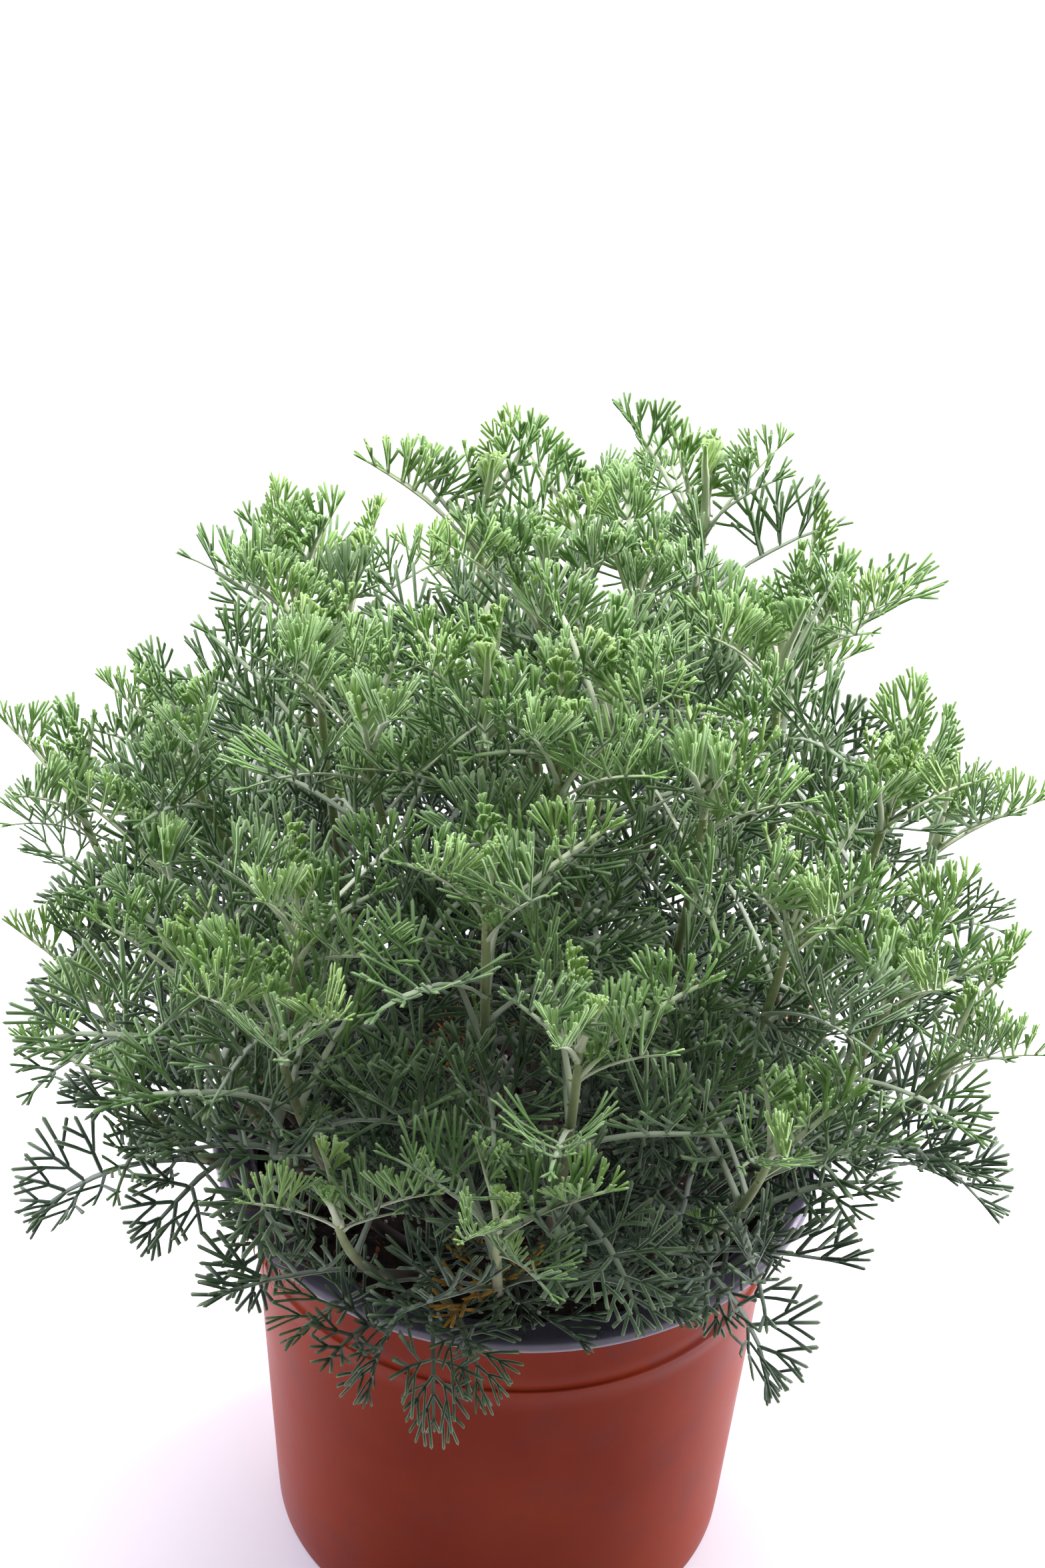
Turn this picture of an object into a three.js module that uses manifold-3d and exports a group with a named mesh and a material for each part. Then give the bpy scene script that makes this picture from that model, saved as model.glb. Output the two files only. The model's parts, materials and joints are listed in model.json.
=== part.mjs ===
// Potted camphor wormwood: a bushy herb with finely cut leaves in a round nursery pot.
// Millimetres, +Z up. The origin is the centre of the pot's base and the front faces -Y.

import * as THREE from 'three';
import { mergeVertices } from 'three/addons/utils/BufferGeometryUtils.js';
import Module from 'manifold-3d';

const wasm = await Module();
wasm.setup();

// Driving dimensions of the pot
const POT_HEIGHT = 108;
const RIM_RADIUS = 65;
const RIM_INNER_RADIUS = 59.4;
const RIM_LIP_HEIGHT = 3.6;
const COLLAR_RADIUS = 58;
const COLLAR_HEIGHT = 23.5;
const COLLAR_STEP = 0.6;
const WALL_THICKNESS = 1.5;
const WALL_TAPER = 0.062;
const BASE_THICKNESS = 2;
const POT_SIDES = 40;
const DRAIN_HOLES = 6;
const DRAIN_HOLE_RADIUS = 3;
const DRAIN_RING_RADIUS = 38;

// Driving dimensions of the soil
const SOIL_HEIGHT = 96.5;
const SOIL_GAP = 0.6;
const SOIL_SIDES = 20;
const SOIL_RELIEF = 1.1;
const STEM_HOLE_RADIUS = 2.3;
const STEM_HOLE_DEPTH = 9;
const STEM_END_GAP = 0.4;

// Driving dimensions of the bush
const BUSH_CENTRE = new THREE.Vector3(0, 0, 153);
const STEM_FOOT_NEAR = 4;
const STEM_FOOT_SPREAD = 34;
const STEM_RADIUS = 1.5;
const STEM_TIP_RADIUS = 1.0;
const SIDE_SHOOT_RADIUS = 1.2;
const STEM_SIDES = 4;
const SIDE_SHOOT_START = 0.42;
const LEAF_THICKNESS = 0.7;
const PETIOLE_WIDTH = 1.1;
const RIB_WIDTH = 2.6;
const YOUNG_PETIOLE = 8;
const OLD_PETIOLE = 16;
const YOUNG_BLADE = 18;
const OLD_BLADE = 26;
const LEAVES_ON_STEM = 4;
const LEAVES_ON_SIDE_SHOOT = 3;
const BUD_PETIOLE = 5;
const BUD_BLADE = 12;
const LEAF_CUP = 0.012;
const BUD_CUP = 0.05;
const ROOT_STRETCH = 7;
const CLEARANCE = 0.8;
const TRIES = 70;

// Each row is one leafy stem. Each shoot gives its tip seen from the middle of the bush:
// the azimuth and rise in degrees, and the reach in millimetres. The first shoot is the main
// stem, and the others branch off it.
const LEAFY_STEMS = [
  [[56, 55, 100], [34, 40, 88]],
  [[106, 57, 92], [80, 48, 88]],
  [[90, 76, 80], [48, 70, 78]],
  [[144, 45, 90], [124, 30, 86]],
  [[178, 58, 82], [186, 36, 84]],
  [[172, 15, 98]],
  [[195, 25, 82]],
  [[216, 20, 84], [230, 34, 80]],
  [[277, 66, 82], [302, 72, 80]],
  [[242, 74, 80], [216, 60, 80]],
  [[314, 56, 82]],
  [[316, 36, 84]],
  [[355, 34, 84], [10, 56, 84]],
  [[332, 18, 84]],
  [[346, -2, 90]],
  [[278, 28, 84]],
  [[268, 2, 84]],
  [[246, -4, 82]],
  [[305, 8, 84]],
  [[262, 46, 82]],
  [[234, 22, 84]],
  [[18, 10, 92]],
  [[50, 18, 88]],
  [[78, 4, 88]],
  [[98, 24, 88]],
  [[128, -2, 90]],
  [[152, 12, 88]],
  [[206, -6, 86]],
  [[184, -8, 88]],
];

// The pruned stem at the front rim: its foot, its height above the soil and its leaves
const CUT_STEM_FOOT = new THREE.Vector2(-15, -48);
const CUT_STEM_HEIGHT = 13;
const CUT_STEM_RADIUS = 1.9;
const CUT_STEM_LEAVES = 5;

const GOLDEN_ANGLE = 137.5;
const radians = THREE.MathUtils.degToRad;
const mix = THREE.MathUtils.lerp;

// A small seeded generator, so every build draws the same leaves
function seededDraws(seed) {
  let state = seed;
  const draw = () => {
    state = (state * 1664525 + 1013904223) % 4294967296;
    return state / 4294967296;
  };
  draw();
  draw();
  draw();
  return draw;
}

// Solids
function solidFrom(positions, triangles) {
  return new wasm.Manifold(new wasm.Mesh({
    numProp: 3,
    vertProperties: new Float32Array(positions),
    triVerts: new Uint32Array(triangles),
  }));
}

function solidFromGeometry(geometry) {
  const bare = geometry.clone();
  bare.deleteAttribute('normal');
  bare.deleteAttribute('uv');
  const merged = mergeVertices(bare, 1e-4);
  return solidFrom(merged.attributes.position.array, merged.index.array);
}

function meshOf(name, solid, material) {
  const { vertProperties, triVerts } = solid.getMesh();
  const geometry = new THREE.BufferGeometry();
  geometry.setAttribute('position', new THREE.BufferAttribute(new Float32Array(vertProperties), 3));
  geometry.setIndex(new THREE.BufferAttribute(new Uint32Array(triVerts), 1));
  const mesh = new THREE.Mesh(geometry, material);
  mesh.name = name;
  return mesh;
}

function latheSolid(profile, sides) {
  const lathe = new THREE.LatheGeometry(profile.map(([r, z]) => new THREE.Vector2(r, z)), sides);
  lathe.rotateX(Math.PI / 2);
  return solidFromGeometry(lathe);
}

// The pot
const collarFoot = POT_HEIGHT - COLLAR_HEIGHT;
const rimFoot = POT_HEIGHT - RIM_LIP_HEIGHT;
const wallAt = (z) => COLLAR_RADIUS - COLLAR_STEP - WALL_TAPER * (rimFoot - z);
const innerWallAt = (z) => wallAt(z) - WALL_THICKNESS;

function potSolid() {
  const profile = [
    [0, 0],
    [wallAt(0), 0],
    [wallAt(collarFoot), collarFoot],
    [wallAt(collarFoot) + COLLAR_STEP, collarFoot + COLLAR_STEP],
    [COLLAR_RADIUS, rimFoot],
    [RIM_RADIUS - 0.3, rimFoot],
    [RIM_RADIUS, rimFoot + 1.6],
    [RIM_RADIUS - 1.8, POT_HEIGHT],
    [RIM_INNER_RADIUS, POT_HEIGHT - 0.4],
    [innerWallAt(rimFoot), rimFoot],
    [innerWallAt(BASE_THICKNESS), BASE_THICKNESS],
    [0, BASE_THICKNESS],
  ];
  let pot = latheSolid(profile, POT_SIDES);
  for (let i = 0; i < DRAIN_HOLES; i++) {
    const angle = (i / DRAIN_HOLES) * Math.PI * 2;
    const drill = new THREE.CylinderGeometry(DRAIN_HOLE_RADIUS, DRAIN_HOLE_RADIUS, BASE_THICKNESS * 3, 6);
    drill.rotateX(Math.PI / 2);
    drill.translate(DRAIN_RING_RADIUS * Math.cos(angle), DRAIN_RING_RADIUS * Math.sin(angle), 0);
    pot = pot.subtract(solidFromGeometry(drill));
  }
  return pot;
}

// Stems: a tube of a few sides along a bent path, whose rings stay square to it
function bend(foot, tip) {
  const middle = new THREE.Vector3(
    mix(foot.x, tip.x, 0.8),
    mix(foot.y, tip.y, 0.8),
    mix(foot.z, tip.z, 0.45),
  );
  return new THREE.QuadraticBezierCurve3(foot, middle, tip);
}

function tubeSolid(points, radiusFrom, radiusTo, sideways) {
  const positions = [];
  const triangles = [];
  const last = points.length - 1;
  points.forEach((point, i) => {
    const along = points[Math.min(i + 1, last)].clone().sub(points[Math.max(i - 1, 0)]).normalize();
    const across = sideways.clone().cross(along).normalize();
    const radius = mix(radiusFrom, radiusTo, i / last);
    for (let k = 0; k < STEM_SIDES; k++) {
      const angle = (k / STEM_SIDES) * Math.PI * 2;
      const corner = point.clone()
        .addScaledVector(sideways, radius * Math.cos(angle))
        .addScaledVector(across, -radius * Math.sin(angle));
      positions.push(corner.x, corner.y, corner.z);
    }
  });
  for (let i = 0; i < last; i++) {
    for (let k = 0; k < STEM_SIDES; k++) {
      const a = i * STEM_SIDES + k;
      const b = i * STEM_SIDES + (k + 1) % STEM_SIDES;
      triangles.push(a, b, b + STEM_SIDES, a, b + STEM_SIDES, a + STEM_SIDES);
    }
  }
  for (let k = 1; k < STEM_SIDES - 1; k++) {
    const top = last * STEM_SIDES;
    triangles.push(0, k + 1, k, top, top + k, top + k + 1);
  }
  return solidFrom(positions, triangles);
}

function pointAlong(points, fraction) {
  const lengths = points.slice(1).map((point, i) => point.distanceTo(points[i]));
  let left = fraction * lengths.reduce((sum, length) => sum + length, 0);
  let i = 0;
  while (i < lengths.length - 1 && left > lengths[i]) {
    left -= lengths[i];
    i += 1;
  }
  return points[i].clone().lerp(points[i + 1], Math.min(left / lengths[i], 1));
}

// Leaves: a midline that rises from the stem and bends over, and a blade spread across it
function leafFrame(leaf, s) {
  const pitch = leaf.pitch - leaf.droop * s / leaf.length;
  const curl = leaf.droop / leaf.length;
  const out = (Math.sin(leaf.pitch) - Math.sin(pitch)) / curl;
  const up = (Math.cos(pitch) - Math.cos(leaf.pitch)) / curl;
  const heading = new THREE.Vector3(Math.cos(leaf.azimuth), Math.sin(leaf.azimuth), 0);
  const side = new THREE.Vector3(-heading.y, heading.x, 0);
  const normal = heading.clone().multiplyScalar(-Math.sin(pitch));
  normal.z = Math.cos(pitch);
  const point = leaf.root.clone().addScaledVector(heading, out);
  point.z += up;
  return {
    point,
    side: side.clone().multiplyScalar(Math.cos(leaf.roll)).addScaledVector(normal, Math.sin(leaf.roll)),
    normal: normal.clone().multiplyScalar(Math.cos(leaf.roll)).addScaledVector(side, -Math.sin(leaf.roll)),
  };
}

function leafPoint(leaf, s, v, lift) {
  const { point, side, normal } = leafFrame(leaf, s);
  return point.addScaledVector(side, v).addScaledVector(normal, leaf.cup * v * v + lift);
}

// Pairs of lobes of a blade, as fractions of its length: the stretch of rib that each grows from,
// and how far along and out its tip lies
const FULL_LOBES = [
  { from: 0, to: 0.3, along: 0.36, out: 0.51 },
  { from: 0.3, to: 0.54, along: 0.69, out: 0.47 },
  { from: 0.54, to: 0.74, along: 0.92, out: 0.27 },
];
const SHORT_LOBES = [
  { from: 0, to: 0.38, along: 0.48, out: 0.52 },
  { from: 0.38, to: 0.66, along: 0.84, out: 0.38 },
];

// One edge of the leaf from root to top: petiole, then a tip and a notch for every lobe
function leafEdge(leaf) {
  const edge = [[0, PETIOLE_WIDTH / 2], [leaf.petiole, PETIOLE_WIDTH / 2]];
  for (const { to, along, out } of leaf.lobes) {
    edge.push([leaf.petiole + along * leaf.blade, out * leaf.blade]);
    edge.push([leaf.petiole + to * leaf.blade, RIB_WIDTH / 2]);
  }
  return edge;
}

// Both faces of a leaf are split into triangles alike, so that they never cross
function leafSolid(leaf) {
  const edge = leafEdge(leaf);
  const outline = [
    ...edge.map(([s, v]) => [s, -v]),
    [leaf.length, 0],
    ...[...edge].reverse(),
  ];
  const count = outline.length;
  const twin = (i) => count - 1 - i;
  const faces = [[0, 1, twin(1)], [0, twin(1), twin(0)]];
  for (let a = 1; a + 2 < edge.length; a += 2) {
    const tip = a + 1;
    const b = a + 2;
    faces.push([a, tip, b], [a, b, twin(b)], [a, twin(b), twin(a)], [twin(b), twin(tip), twin(a)]);
  }
  faces.push([edge.length - 1, edge.length, twin(edge.length - 1)]);

  const positions = [];
  const triangles = [];
  for (const lift of [LEAF_THICKNESS / 2, -LEAF_THICKNESS / 2]) {
    for (const [s, v] of outline) {
      positions.push(...leafPoint(leaf, s, v, lift).toArray());
    }
  }
  for (const [a, b, c] of faces) {
    triangles.push(a, b, c, a + count, c + count, b + count);
  }
  for (let i = 0; i < count; i++) {
    const j = (i + 1) % count;
    triangles.push(i, i + count, j + count, i, j + count, j);
  }
  return solidFrom(positions, triangles);
}

// Room to grow: balls along every stem and leaf, which a new leaf has to stay clear of
const balls = [];

function ballsOfLeaf(leaf) {
  const list = [];
  const put = (s, v, radius) => list.push({ at: leafPoint(leaf, s, v, 0), radius, s });
  for (let s = 2.5; s < leaf.petiole; s += 2.5) {
    put(s, 0, 0.8);
  }
  for (let s = leaf.petiole; s < leaf.length - 1; s += 2.5) {
    put(s, 0, 1.3);
  }
  for (const { from, to, along, out } of leaf.lobes) {
    const halfWidth = 0.4 * (to - from) * leaf.blade;
    for (const f of [0.15, 0.4, 0.65, 0.9]) {
      const s = leaf.petiole + mix((from + to) / 2, along, f) * leaf.blade;
      const v = out * leaf.blade * f;
      const radius = halfWidth * (1 - f) + LEAF_THICKNESS / 2;
      put(s, v, radius);
      put(s, -v, radius);
    }
  }
  return list;
}

function clearOfPot({ at, radius }) {
  const out = Math.hypot(at.x, at.y);
  if (at.z > POT_HEIGHT + CLEARANCE + radius || out > RIM_RADIUS + CLEARANCE + radius) {
    return true;
  }
  const overSoil = at.z > SOIL_HEIGHT + 1.5 * SOIL_RELIEF + radius;
  return overSoil && out < innerWallAt(SOIL_HEIGHT) - CLEARANCE - radius;
}

function clearOfOthers(ball, stem) {
  return balls.every((other) => {
    if (other.stem === stem && (ball.s < ROOT_STRETCH || other.s < ROOT_STRETCH)) {
      return true;
    }
    const apart = ball.radius + other.radius + CLEARANCE;
    return ball.at.distanceToSquared(other.at) > apart * apart;
  });
}

function growLeaf(stem, shoot, wish, seed) {
  const draw = seededDraws(seed);
  for (let attempt = 0; attempt < TRIES; attempt++) {
    const looser = attempt / TRIES;
    const size = mix(1, 0.7, Math.floor(looser * 3) / 3);
    const leaf = {
      root: pointAlong(shoot.path, wish.along),
      lobes: wish.lobes,
      cup: wish.cup,
      petiole: wish.petiole * size,
      blade: wish.blade * size,
      azimuth: wish.azimuth + (draw() - 0.5) * wish.sway * radians(30 + 150 * looser),
      pitch: wish.pitch + (draw() - 0.5) * wish.sway * radians(14 + 50 * looser),
      droop: wish.droop * (0.7 + 0.6 * draw()),
      roll: (draw() - 0.5) * wish.sway * radians(40),
    };
    leaf.length = leaf.petiole + leaf.blade;
    const room = ballsOfLeaf(leaf);
    if (room.every((ball) => clearOfPot(ball) && clearOfOthers(ball, stem))) {
      room.forEach((ball) => balls.push({ ...ball, stem }));
      return leaf;
    }
  }
  return null;
}

// The plan of the bush: the path of every shoot, then its leaves in turns from the tips down
function aim([azimuth, rise, reach]) {
  return new THREE.Vector3(
    reach * Math.cos(radians(rise)) * Math.cos(radians(azimuth)),
    reach * Math.cos(radians(rise)) * Math.sin(radians(azimuth)),
    reach * Math.sin(radians(rise)),
  ).add(BUSH_CENTRE);
}

function planStem(shoots, stem) {
  const tip = aim(shoots[0]);
  const azimuth = radians(shoots[0][0]);
  const out = STEM_FOOT_NEAR + STEM_FOOT_SPREAD * Math.cos(radians(shoots[0][1]));
  const foot = new THREE.Vector3(out * Math.cos(azimuth), out * Math.sin(azimuth), SOIL_HEIGHT + 1);
  const main = bend(foot, tip);
  const buried = foot.clone().setZ(SOIL_HEIGHT - STEM_HOLE_DEPTH + STEM_END_GAP);
  const paths = [{ path: main.getPoints(4), azimuth, main: true }];
  for (const side of shoots.slice(1)) {
    const fork = main.getPoint(SIDE_SHOOT_START);
    const end = aim(side);
    paths.push({
      path: bend(fork, end).getPoints(3),
      azimuth: Math.atan2(end.y - fork.y, end.x - fork.x),
      main: false,
    });
  }
  return { name: `leafy_stem_${String(stem + 1).padStart(2, '0')}`, foot, buried, shoots: paths, leaves: [] };
}

function planCutStem(stem) {
  const foot = new THREE.Vector3(CUT_STEM_FOOT.x, CUT_STEM_FOOT.y, SOIL_HEIGHT + 1);
  const top = foot.clone().add(new THREE.Vector3(-1.5, -3, CUT_STEM_HEIGHT));
  const buried = foot.clone().setZ(SOIL_HEIGHT - STEM_HOLE_DEPTH + STEM_END_GAP);
  const path = [foot, foot.clone().lerp(top, 0.5), top];
  return {
    name: 'cut_stem',
    foot,
    buried,
    cut: true,
    shoots: [{ path, azimuth: radians(-90), main: true }],
    leaves: [],
    stem,
  };
}

function ballsOfStem({ shoots }, stem) {
  for (const { path } of shoots) {
    for (let step = 0; step <= 40; step++) {
      balls.push({ at: pointAlong(path, step / 40), radius: STEM_RADIUS, s: Infinity, stem });
    }
  }
}

const plan = LEAFY_STEMS.map(planStem);
plan.push(planCutStem(plan.length));
plan.forEach(ballsOfStem);

function wishForBud(shoot) {
  const [before, tip] = shoot.path.slice(-2);
  const run = tip.clone().sub(before);
  return {
    along: 0.98,
    lobes: SHORT_LOBES,
    cup: BUD_CUP,
    petiole: BUD_PETIOLE,
    blade: BUD_BLADE,
    azimuth: shoot.azimuth,
    pitch: Math.atan2(run.z, Math.hypot(run.x, run.y)),
    droop: radians(6),
    sway: 0,
  };
}

function wishForLeaf(shoot, turn, count, seed) {
  const draw = seededDraws(seed + 7);
  const age = turn / (count - 1);
  return {
    along: 0.93 - 0.6 * age,
    lobes: age > 0.8 ? SHORT_LOBES : FULL_LOBES,
    cup: LEAF_CUP,
    petiole: mix(YOUNG_PETIOLE, OLD_PETIOLE, age) * (0.85 + 0.3 * draw()),
    blade: mix(YOUNG_BLADE, OLD_BLADE, Math.sqrt(age)) * (0.9 + 0.2 * draw()),
    azimuth: shoot.azimuth + radians(GOLDEN_ANGLE * turn + 60),
    pitch: radians(mix(58, 20, age)),
    droop: radians(mix(14, 42, age)),
    sway: 1,
  };
}

function wishForCutStem(shoot, turn, count) {
  return {
    along: 0.85,
    lobes: FULL_LOBES,
    cup: LEAF_CUP,
    petiole: 19,
    blade: 20,
    azimuth: shoot.azimuth + radians(360 / count * turn + 25),
    pitch: radians(26),
    droop: radians(30),
    sway: 1,
  };
}

function leafCount(stem, shoot) {
  if (stem.cut) {
    return CUT_STEM_LEAVES;
  }
  return shoot.main ? LEAVES_ON_STEM : LEAVES_ON_SIDE_SHOOT;
}

function growTurn(turn) {
  plan.forEach((stem, i) => {
    stem.shoots.forEach((shoot, k) => {
      const count = leafCount(stem, shoot);
      if (turn >= count || (turn < 0 && stem.cut)) {
        return;
      }
      const seed = 1000 * (i + 1) + 100 * k + turn;
      let wish = wishForBud(shoot);
      if (turn >= 0) {
        wish = stem.cut ? wishForCutStem(shoot, turn, count) : wishForLeaf(shoot, turn, count, seed);
      }
      const leaf = growLeaf(i, shoot, wish, seed);
      if (leaf) {
        stem.leaves.push(leaf);
      }
    });
  });
}

// The buds come first, as turn -1, then one leaf of every shoot in each turn
for (let turn = -1; turn < CUT_STEM_LEAVES; turn++) {
  growTurn(turn);
}

function sidewaysOf(azimuth) {
  return new THREE.Vector3(-Math.sin(azimuth), Math.cos(azimuth), 0);
}

function leafyStemSolid(stem) {
  let solid = null;
  for (const { path, azimuth, main } of stem.shoots) {
    const points = main ? [stem.buried, ...path] : path;
    const from = stem.cut ? CUT_STEM_RADIUS : (main ? STEM_RADIUS : SIDE_SHOOT_RADIUS);
    const to = stem.cut ? CUT_STEM_RADIUS : STEM_TIP_RADIUS;
    const tube = tubeSolid(points, from, to, sidewaysOf(azimuth));
    solid = solid ? solid.add(tube) : tube;
  }
  for (const leaf of stem.leaves) {
    solid = solid.add(leafSolid(leaf));
  }
  return solid;
}

// The potting soil: a filled pot with low relief on top and a plain hole for each stem
function soilSolid() {
  const foot = BASE_THICKNESS + SOIL_GAP;
  const topRadius = innerWallAt(SOIL_HEIGHT) - SOIL_GAP;
  const profile = [
    [0, foot],
    [innerWallAt(foot) - SOIL_GAP, foot],
    [topRadius, SOIL_HEIGHT],
    [topRadius * 0.7, SOIL_HEIGHT],
    [topRadius * 0.35, SOIL_HEIGHT],
    [0, SOIL_HEIGHT],
  ];
  const lathe = new THREE.LatheGeometry(profile.map(([r, z]) => new THREE.Vector2(r, z)), SOIL_SIDES);
  lathe.rotateX(Math.PI / 2);
  const position = lathe.attributes.position;
  for (let i = 0; i < position.count; i++) {
    const x = position.getX(i);
    const y = position.getY(i);
    if (position.getZ(i) > SOIL_HEIGHT - 1 && Math.hypot(x, y) < topRadius - 1) {
      position.setZ(i, SOIL_HEIGHT + SOIL_RELIEF * Math.sin(x * 0.13 + 1) * Math.cos(y * 0.11));
    }
  }
  let soil = solidFromGeometry(lathe);
  for (const { foot: at, shoots } of plan) {
    const drill = new THREE.CylinderGeometry(
      STEM_HOLE_RADIUS, STEM_HOLE_RADIUS, STEM_HOLE_DEPTH * 2, STEM_SIDES,
    );
    drill.rotateX(Math.PI / 2);
    drill.rotateZ(shoots[0].azimuth + Math.PI);
    drill.translate(at.x, at.y, SOIL_HEIGHT);
    soil = soil.subtract(solidFromGeometry(drill));
  }
  return soil;
}

const potPlastic = new THREE.MeshStandardMaterial({ color: 0x9a4a3a, roughness: 0.45, metalness: 0 });
const pottingSoil = new THREE.MeshStandardMaterial({ color: 0x211a16, roughness: 1, metalness: 0 });
const foliage = new THREE.MeshStandardMaterial({ color: 0x4f7a45, roughness: 0.7, metalness: 0 });

const part = new THREE.Group();
part.add(meshOf('pot', potSolid(), potPlastic));
part.add(meshOf('potting_soil', soilSolid(), pottingSoil));
for (const stem of plan) {
  part.add(meshOf(stem.name, leafyStemSolid(stem), foliage));
}

export default part;
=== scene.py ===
"""Potted camphor wormwood: thread-fine foliage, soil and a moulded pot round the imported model.

Sizes are millimetres in the part's own frame, and MM turns them to metres where a mesh is made.
Only the lights, the floor, the camera's clipping and the litter's density are given in metres.
"""

import json
import math
from types import SimpleNamespace

import bpy
import numpy as np
from mathutils import Matrix, Vector

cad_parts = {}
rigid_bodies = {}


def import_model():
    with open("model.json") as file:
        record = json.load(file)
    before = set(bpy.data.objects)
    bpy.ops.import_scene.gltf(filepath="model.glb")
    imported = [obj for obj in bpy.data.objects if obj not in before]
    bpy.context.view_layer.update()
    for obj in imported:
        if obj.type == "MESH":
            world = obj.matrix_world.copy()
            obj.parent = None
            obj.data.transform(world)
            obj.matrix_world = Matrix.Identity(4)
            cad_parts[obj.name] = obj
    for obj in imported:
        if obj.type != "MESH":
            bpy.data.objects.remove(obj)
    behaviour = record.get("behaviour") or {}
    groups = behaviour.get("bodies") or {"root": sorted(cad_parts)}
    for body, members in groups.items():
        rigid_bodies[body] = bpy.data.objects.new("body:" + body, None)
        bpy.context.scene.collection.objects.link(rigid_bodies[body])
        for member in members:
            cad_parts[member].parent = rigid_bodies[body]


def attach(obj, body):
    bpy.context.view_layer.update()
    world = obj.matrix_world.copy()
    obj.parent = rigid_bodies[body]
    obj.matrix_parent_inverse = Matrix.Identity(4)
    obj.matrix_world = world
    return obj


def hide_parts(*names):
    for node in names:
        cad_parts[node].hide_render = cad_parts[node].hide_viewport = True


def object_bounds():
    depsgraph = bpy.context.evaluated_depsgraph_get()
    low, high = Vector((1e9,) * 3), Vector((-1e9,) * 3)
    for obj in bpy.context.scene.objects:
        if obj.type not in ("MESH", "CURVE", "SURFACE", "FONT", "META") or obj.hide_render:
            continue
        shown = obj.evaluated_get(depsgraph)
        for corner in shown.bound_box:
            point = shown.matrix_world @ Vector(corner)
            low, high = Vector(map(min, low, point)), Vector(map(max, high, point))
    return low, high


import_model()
cad_low, cad_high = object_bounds()

MM = 0.001

# The camera, at the photograph's view of the bush
PHOTO_LONG_SIDE = 2352
PHOTO_FOCAL_PIXELS = 4800
CAMERA_ELEVATION = 35.5
CAMERA_ROLL = 2.95
CAMERA_DISTANCE = 632.6
CAMERA_TARGET = (-2.57, 0, 196.55)
SENSOR = 36

# The pot, as the solid has it
POT_HEIGHT = 108
RIM_RADIUS = 65
RIM_INNER_RADIUS = 59.4
RIM_LIP_HEIGHT = 3.6
COLLAR_RADIUS = 58
COLLAR_HEIGHT = 23.5
COLLAR_STEP = 0.6
WALL_THICKNESS = 1.5
WALL_TAPER = 0.062
BASE_THICKNESS = 2
DRAIN_HOLES = 6
DRAIN_HOLE_RADIUS = 3
DRAIN_RING_RADIUS = 38

# The pot's finer form, which is only modelled here: its recessed base, the bead of the collar and
# the rounds of its edges
FOOT_RECESS = 0.6
FOOT_RING_GAP = 5
FOOT_ROUND = 1.2
BEAD_RADIUS = 0.65
RIM_UNDER_ROUND = 0.6
RIM_TOP_ROUND = 1.6
RIM_INNER_ROUND = 0.9
POT_SIDES = 160

# The soil
SOIL_HEIGHT = 96.5
SOIL_GAP = 0.6
SOIL_RELIEF = 1.1
SOIL_EDGE_DROP = 0.6
SOIL_RINGS = 60
SOIL_SIDES = 120
STEM_HOLE_DEPTH = 9
STEM_END_GAP = 0.4

# The bush, as the solid has it. BEND is the share of the way to its tip at which a shoot bends, in
# x, y and z.
BUSH_CENTRE = np.array([0.0, 0.0, 153.0])
STEM_FOOT_NEAR = 4
STEM_FOOT_SPREAD = 34
STEM_RADIUS = 1.5
SIDE_SHOOT_RADIUS = 1.2
SIDE_SHOOT_START = 0.42
BEND = np.array([0.8, 0.8, 0.45])
MAIN_STEM_STEPS = 4
SIDE_SHOOT_STEPS = 3
LEAF_THICKNESS = 0.7
YOUNG_PETIOLE = 8
OLD_PETIOLE = 16
YOUNG_BLADE = 18
OLD_BLADE = 26
LEAVES_ON_STEM = 4
LEAVES_ON_SIDE_SHOOT = 3
TOP_LEAF_PLACE = 0.93
LEAFY_SHARE = 0.6
SHORT_LOBES_FROM_AGE = 0.8
YOUNG_PITCH = 58
OLD_PITCH = 20
YOUNG_DROOP = 14
OLD_DROOP = 42
BUD_PLACE = 0.98
BUD_PETIOLE = 5
BUD_BLADE = 12
BUD_DROOP = 6
LEAF_CUP = 0.012
BUD_CUP = 0.05
ROOT_STRETCH = 7
CLEARANCE = 0.8
GOLDEN_ANGLE = 137.5
SPIRAL_START = 60

# A leaf that isn't clear of the others is tried again, further from where it should be and smaller.
# Sways are in degrees, at the first try and how much more there is at the last.
TRIES = 70
AZIMUTH_SWAY = 30
MORE_AZIMUTH_SWAY = 150
PITCH_SWAY = 14
MORE_PITCH_SWAY = 50
ROLL_SWAY = 40
SMALLEST_SIZE = 0.7

# The balls that fill a leaf and a stem, by which leaves are kept clear
BALL_STEP = 2.5
PETIOLE_BALL = 0.8
RIB_BALL = 1.3
LOBE_BALL_PLACES = (0.15, 0.4, 0.65, 0.9)
STEM_BALLS = 41

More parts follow.
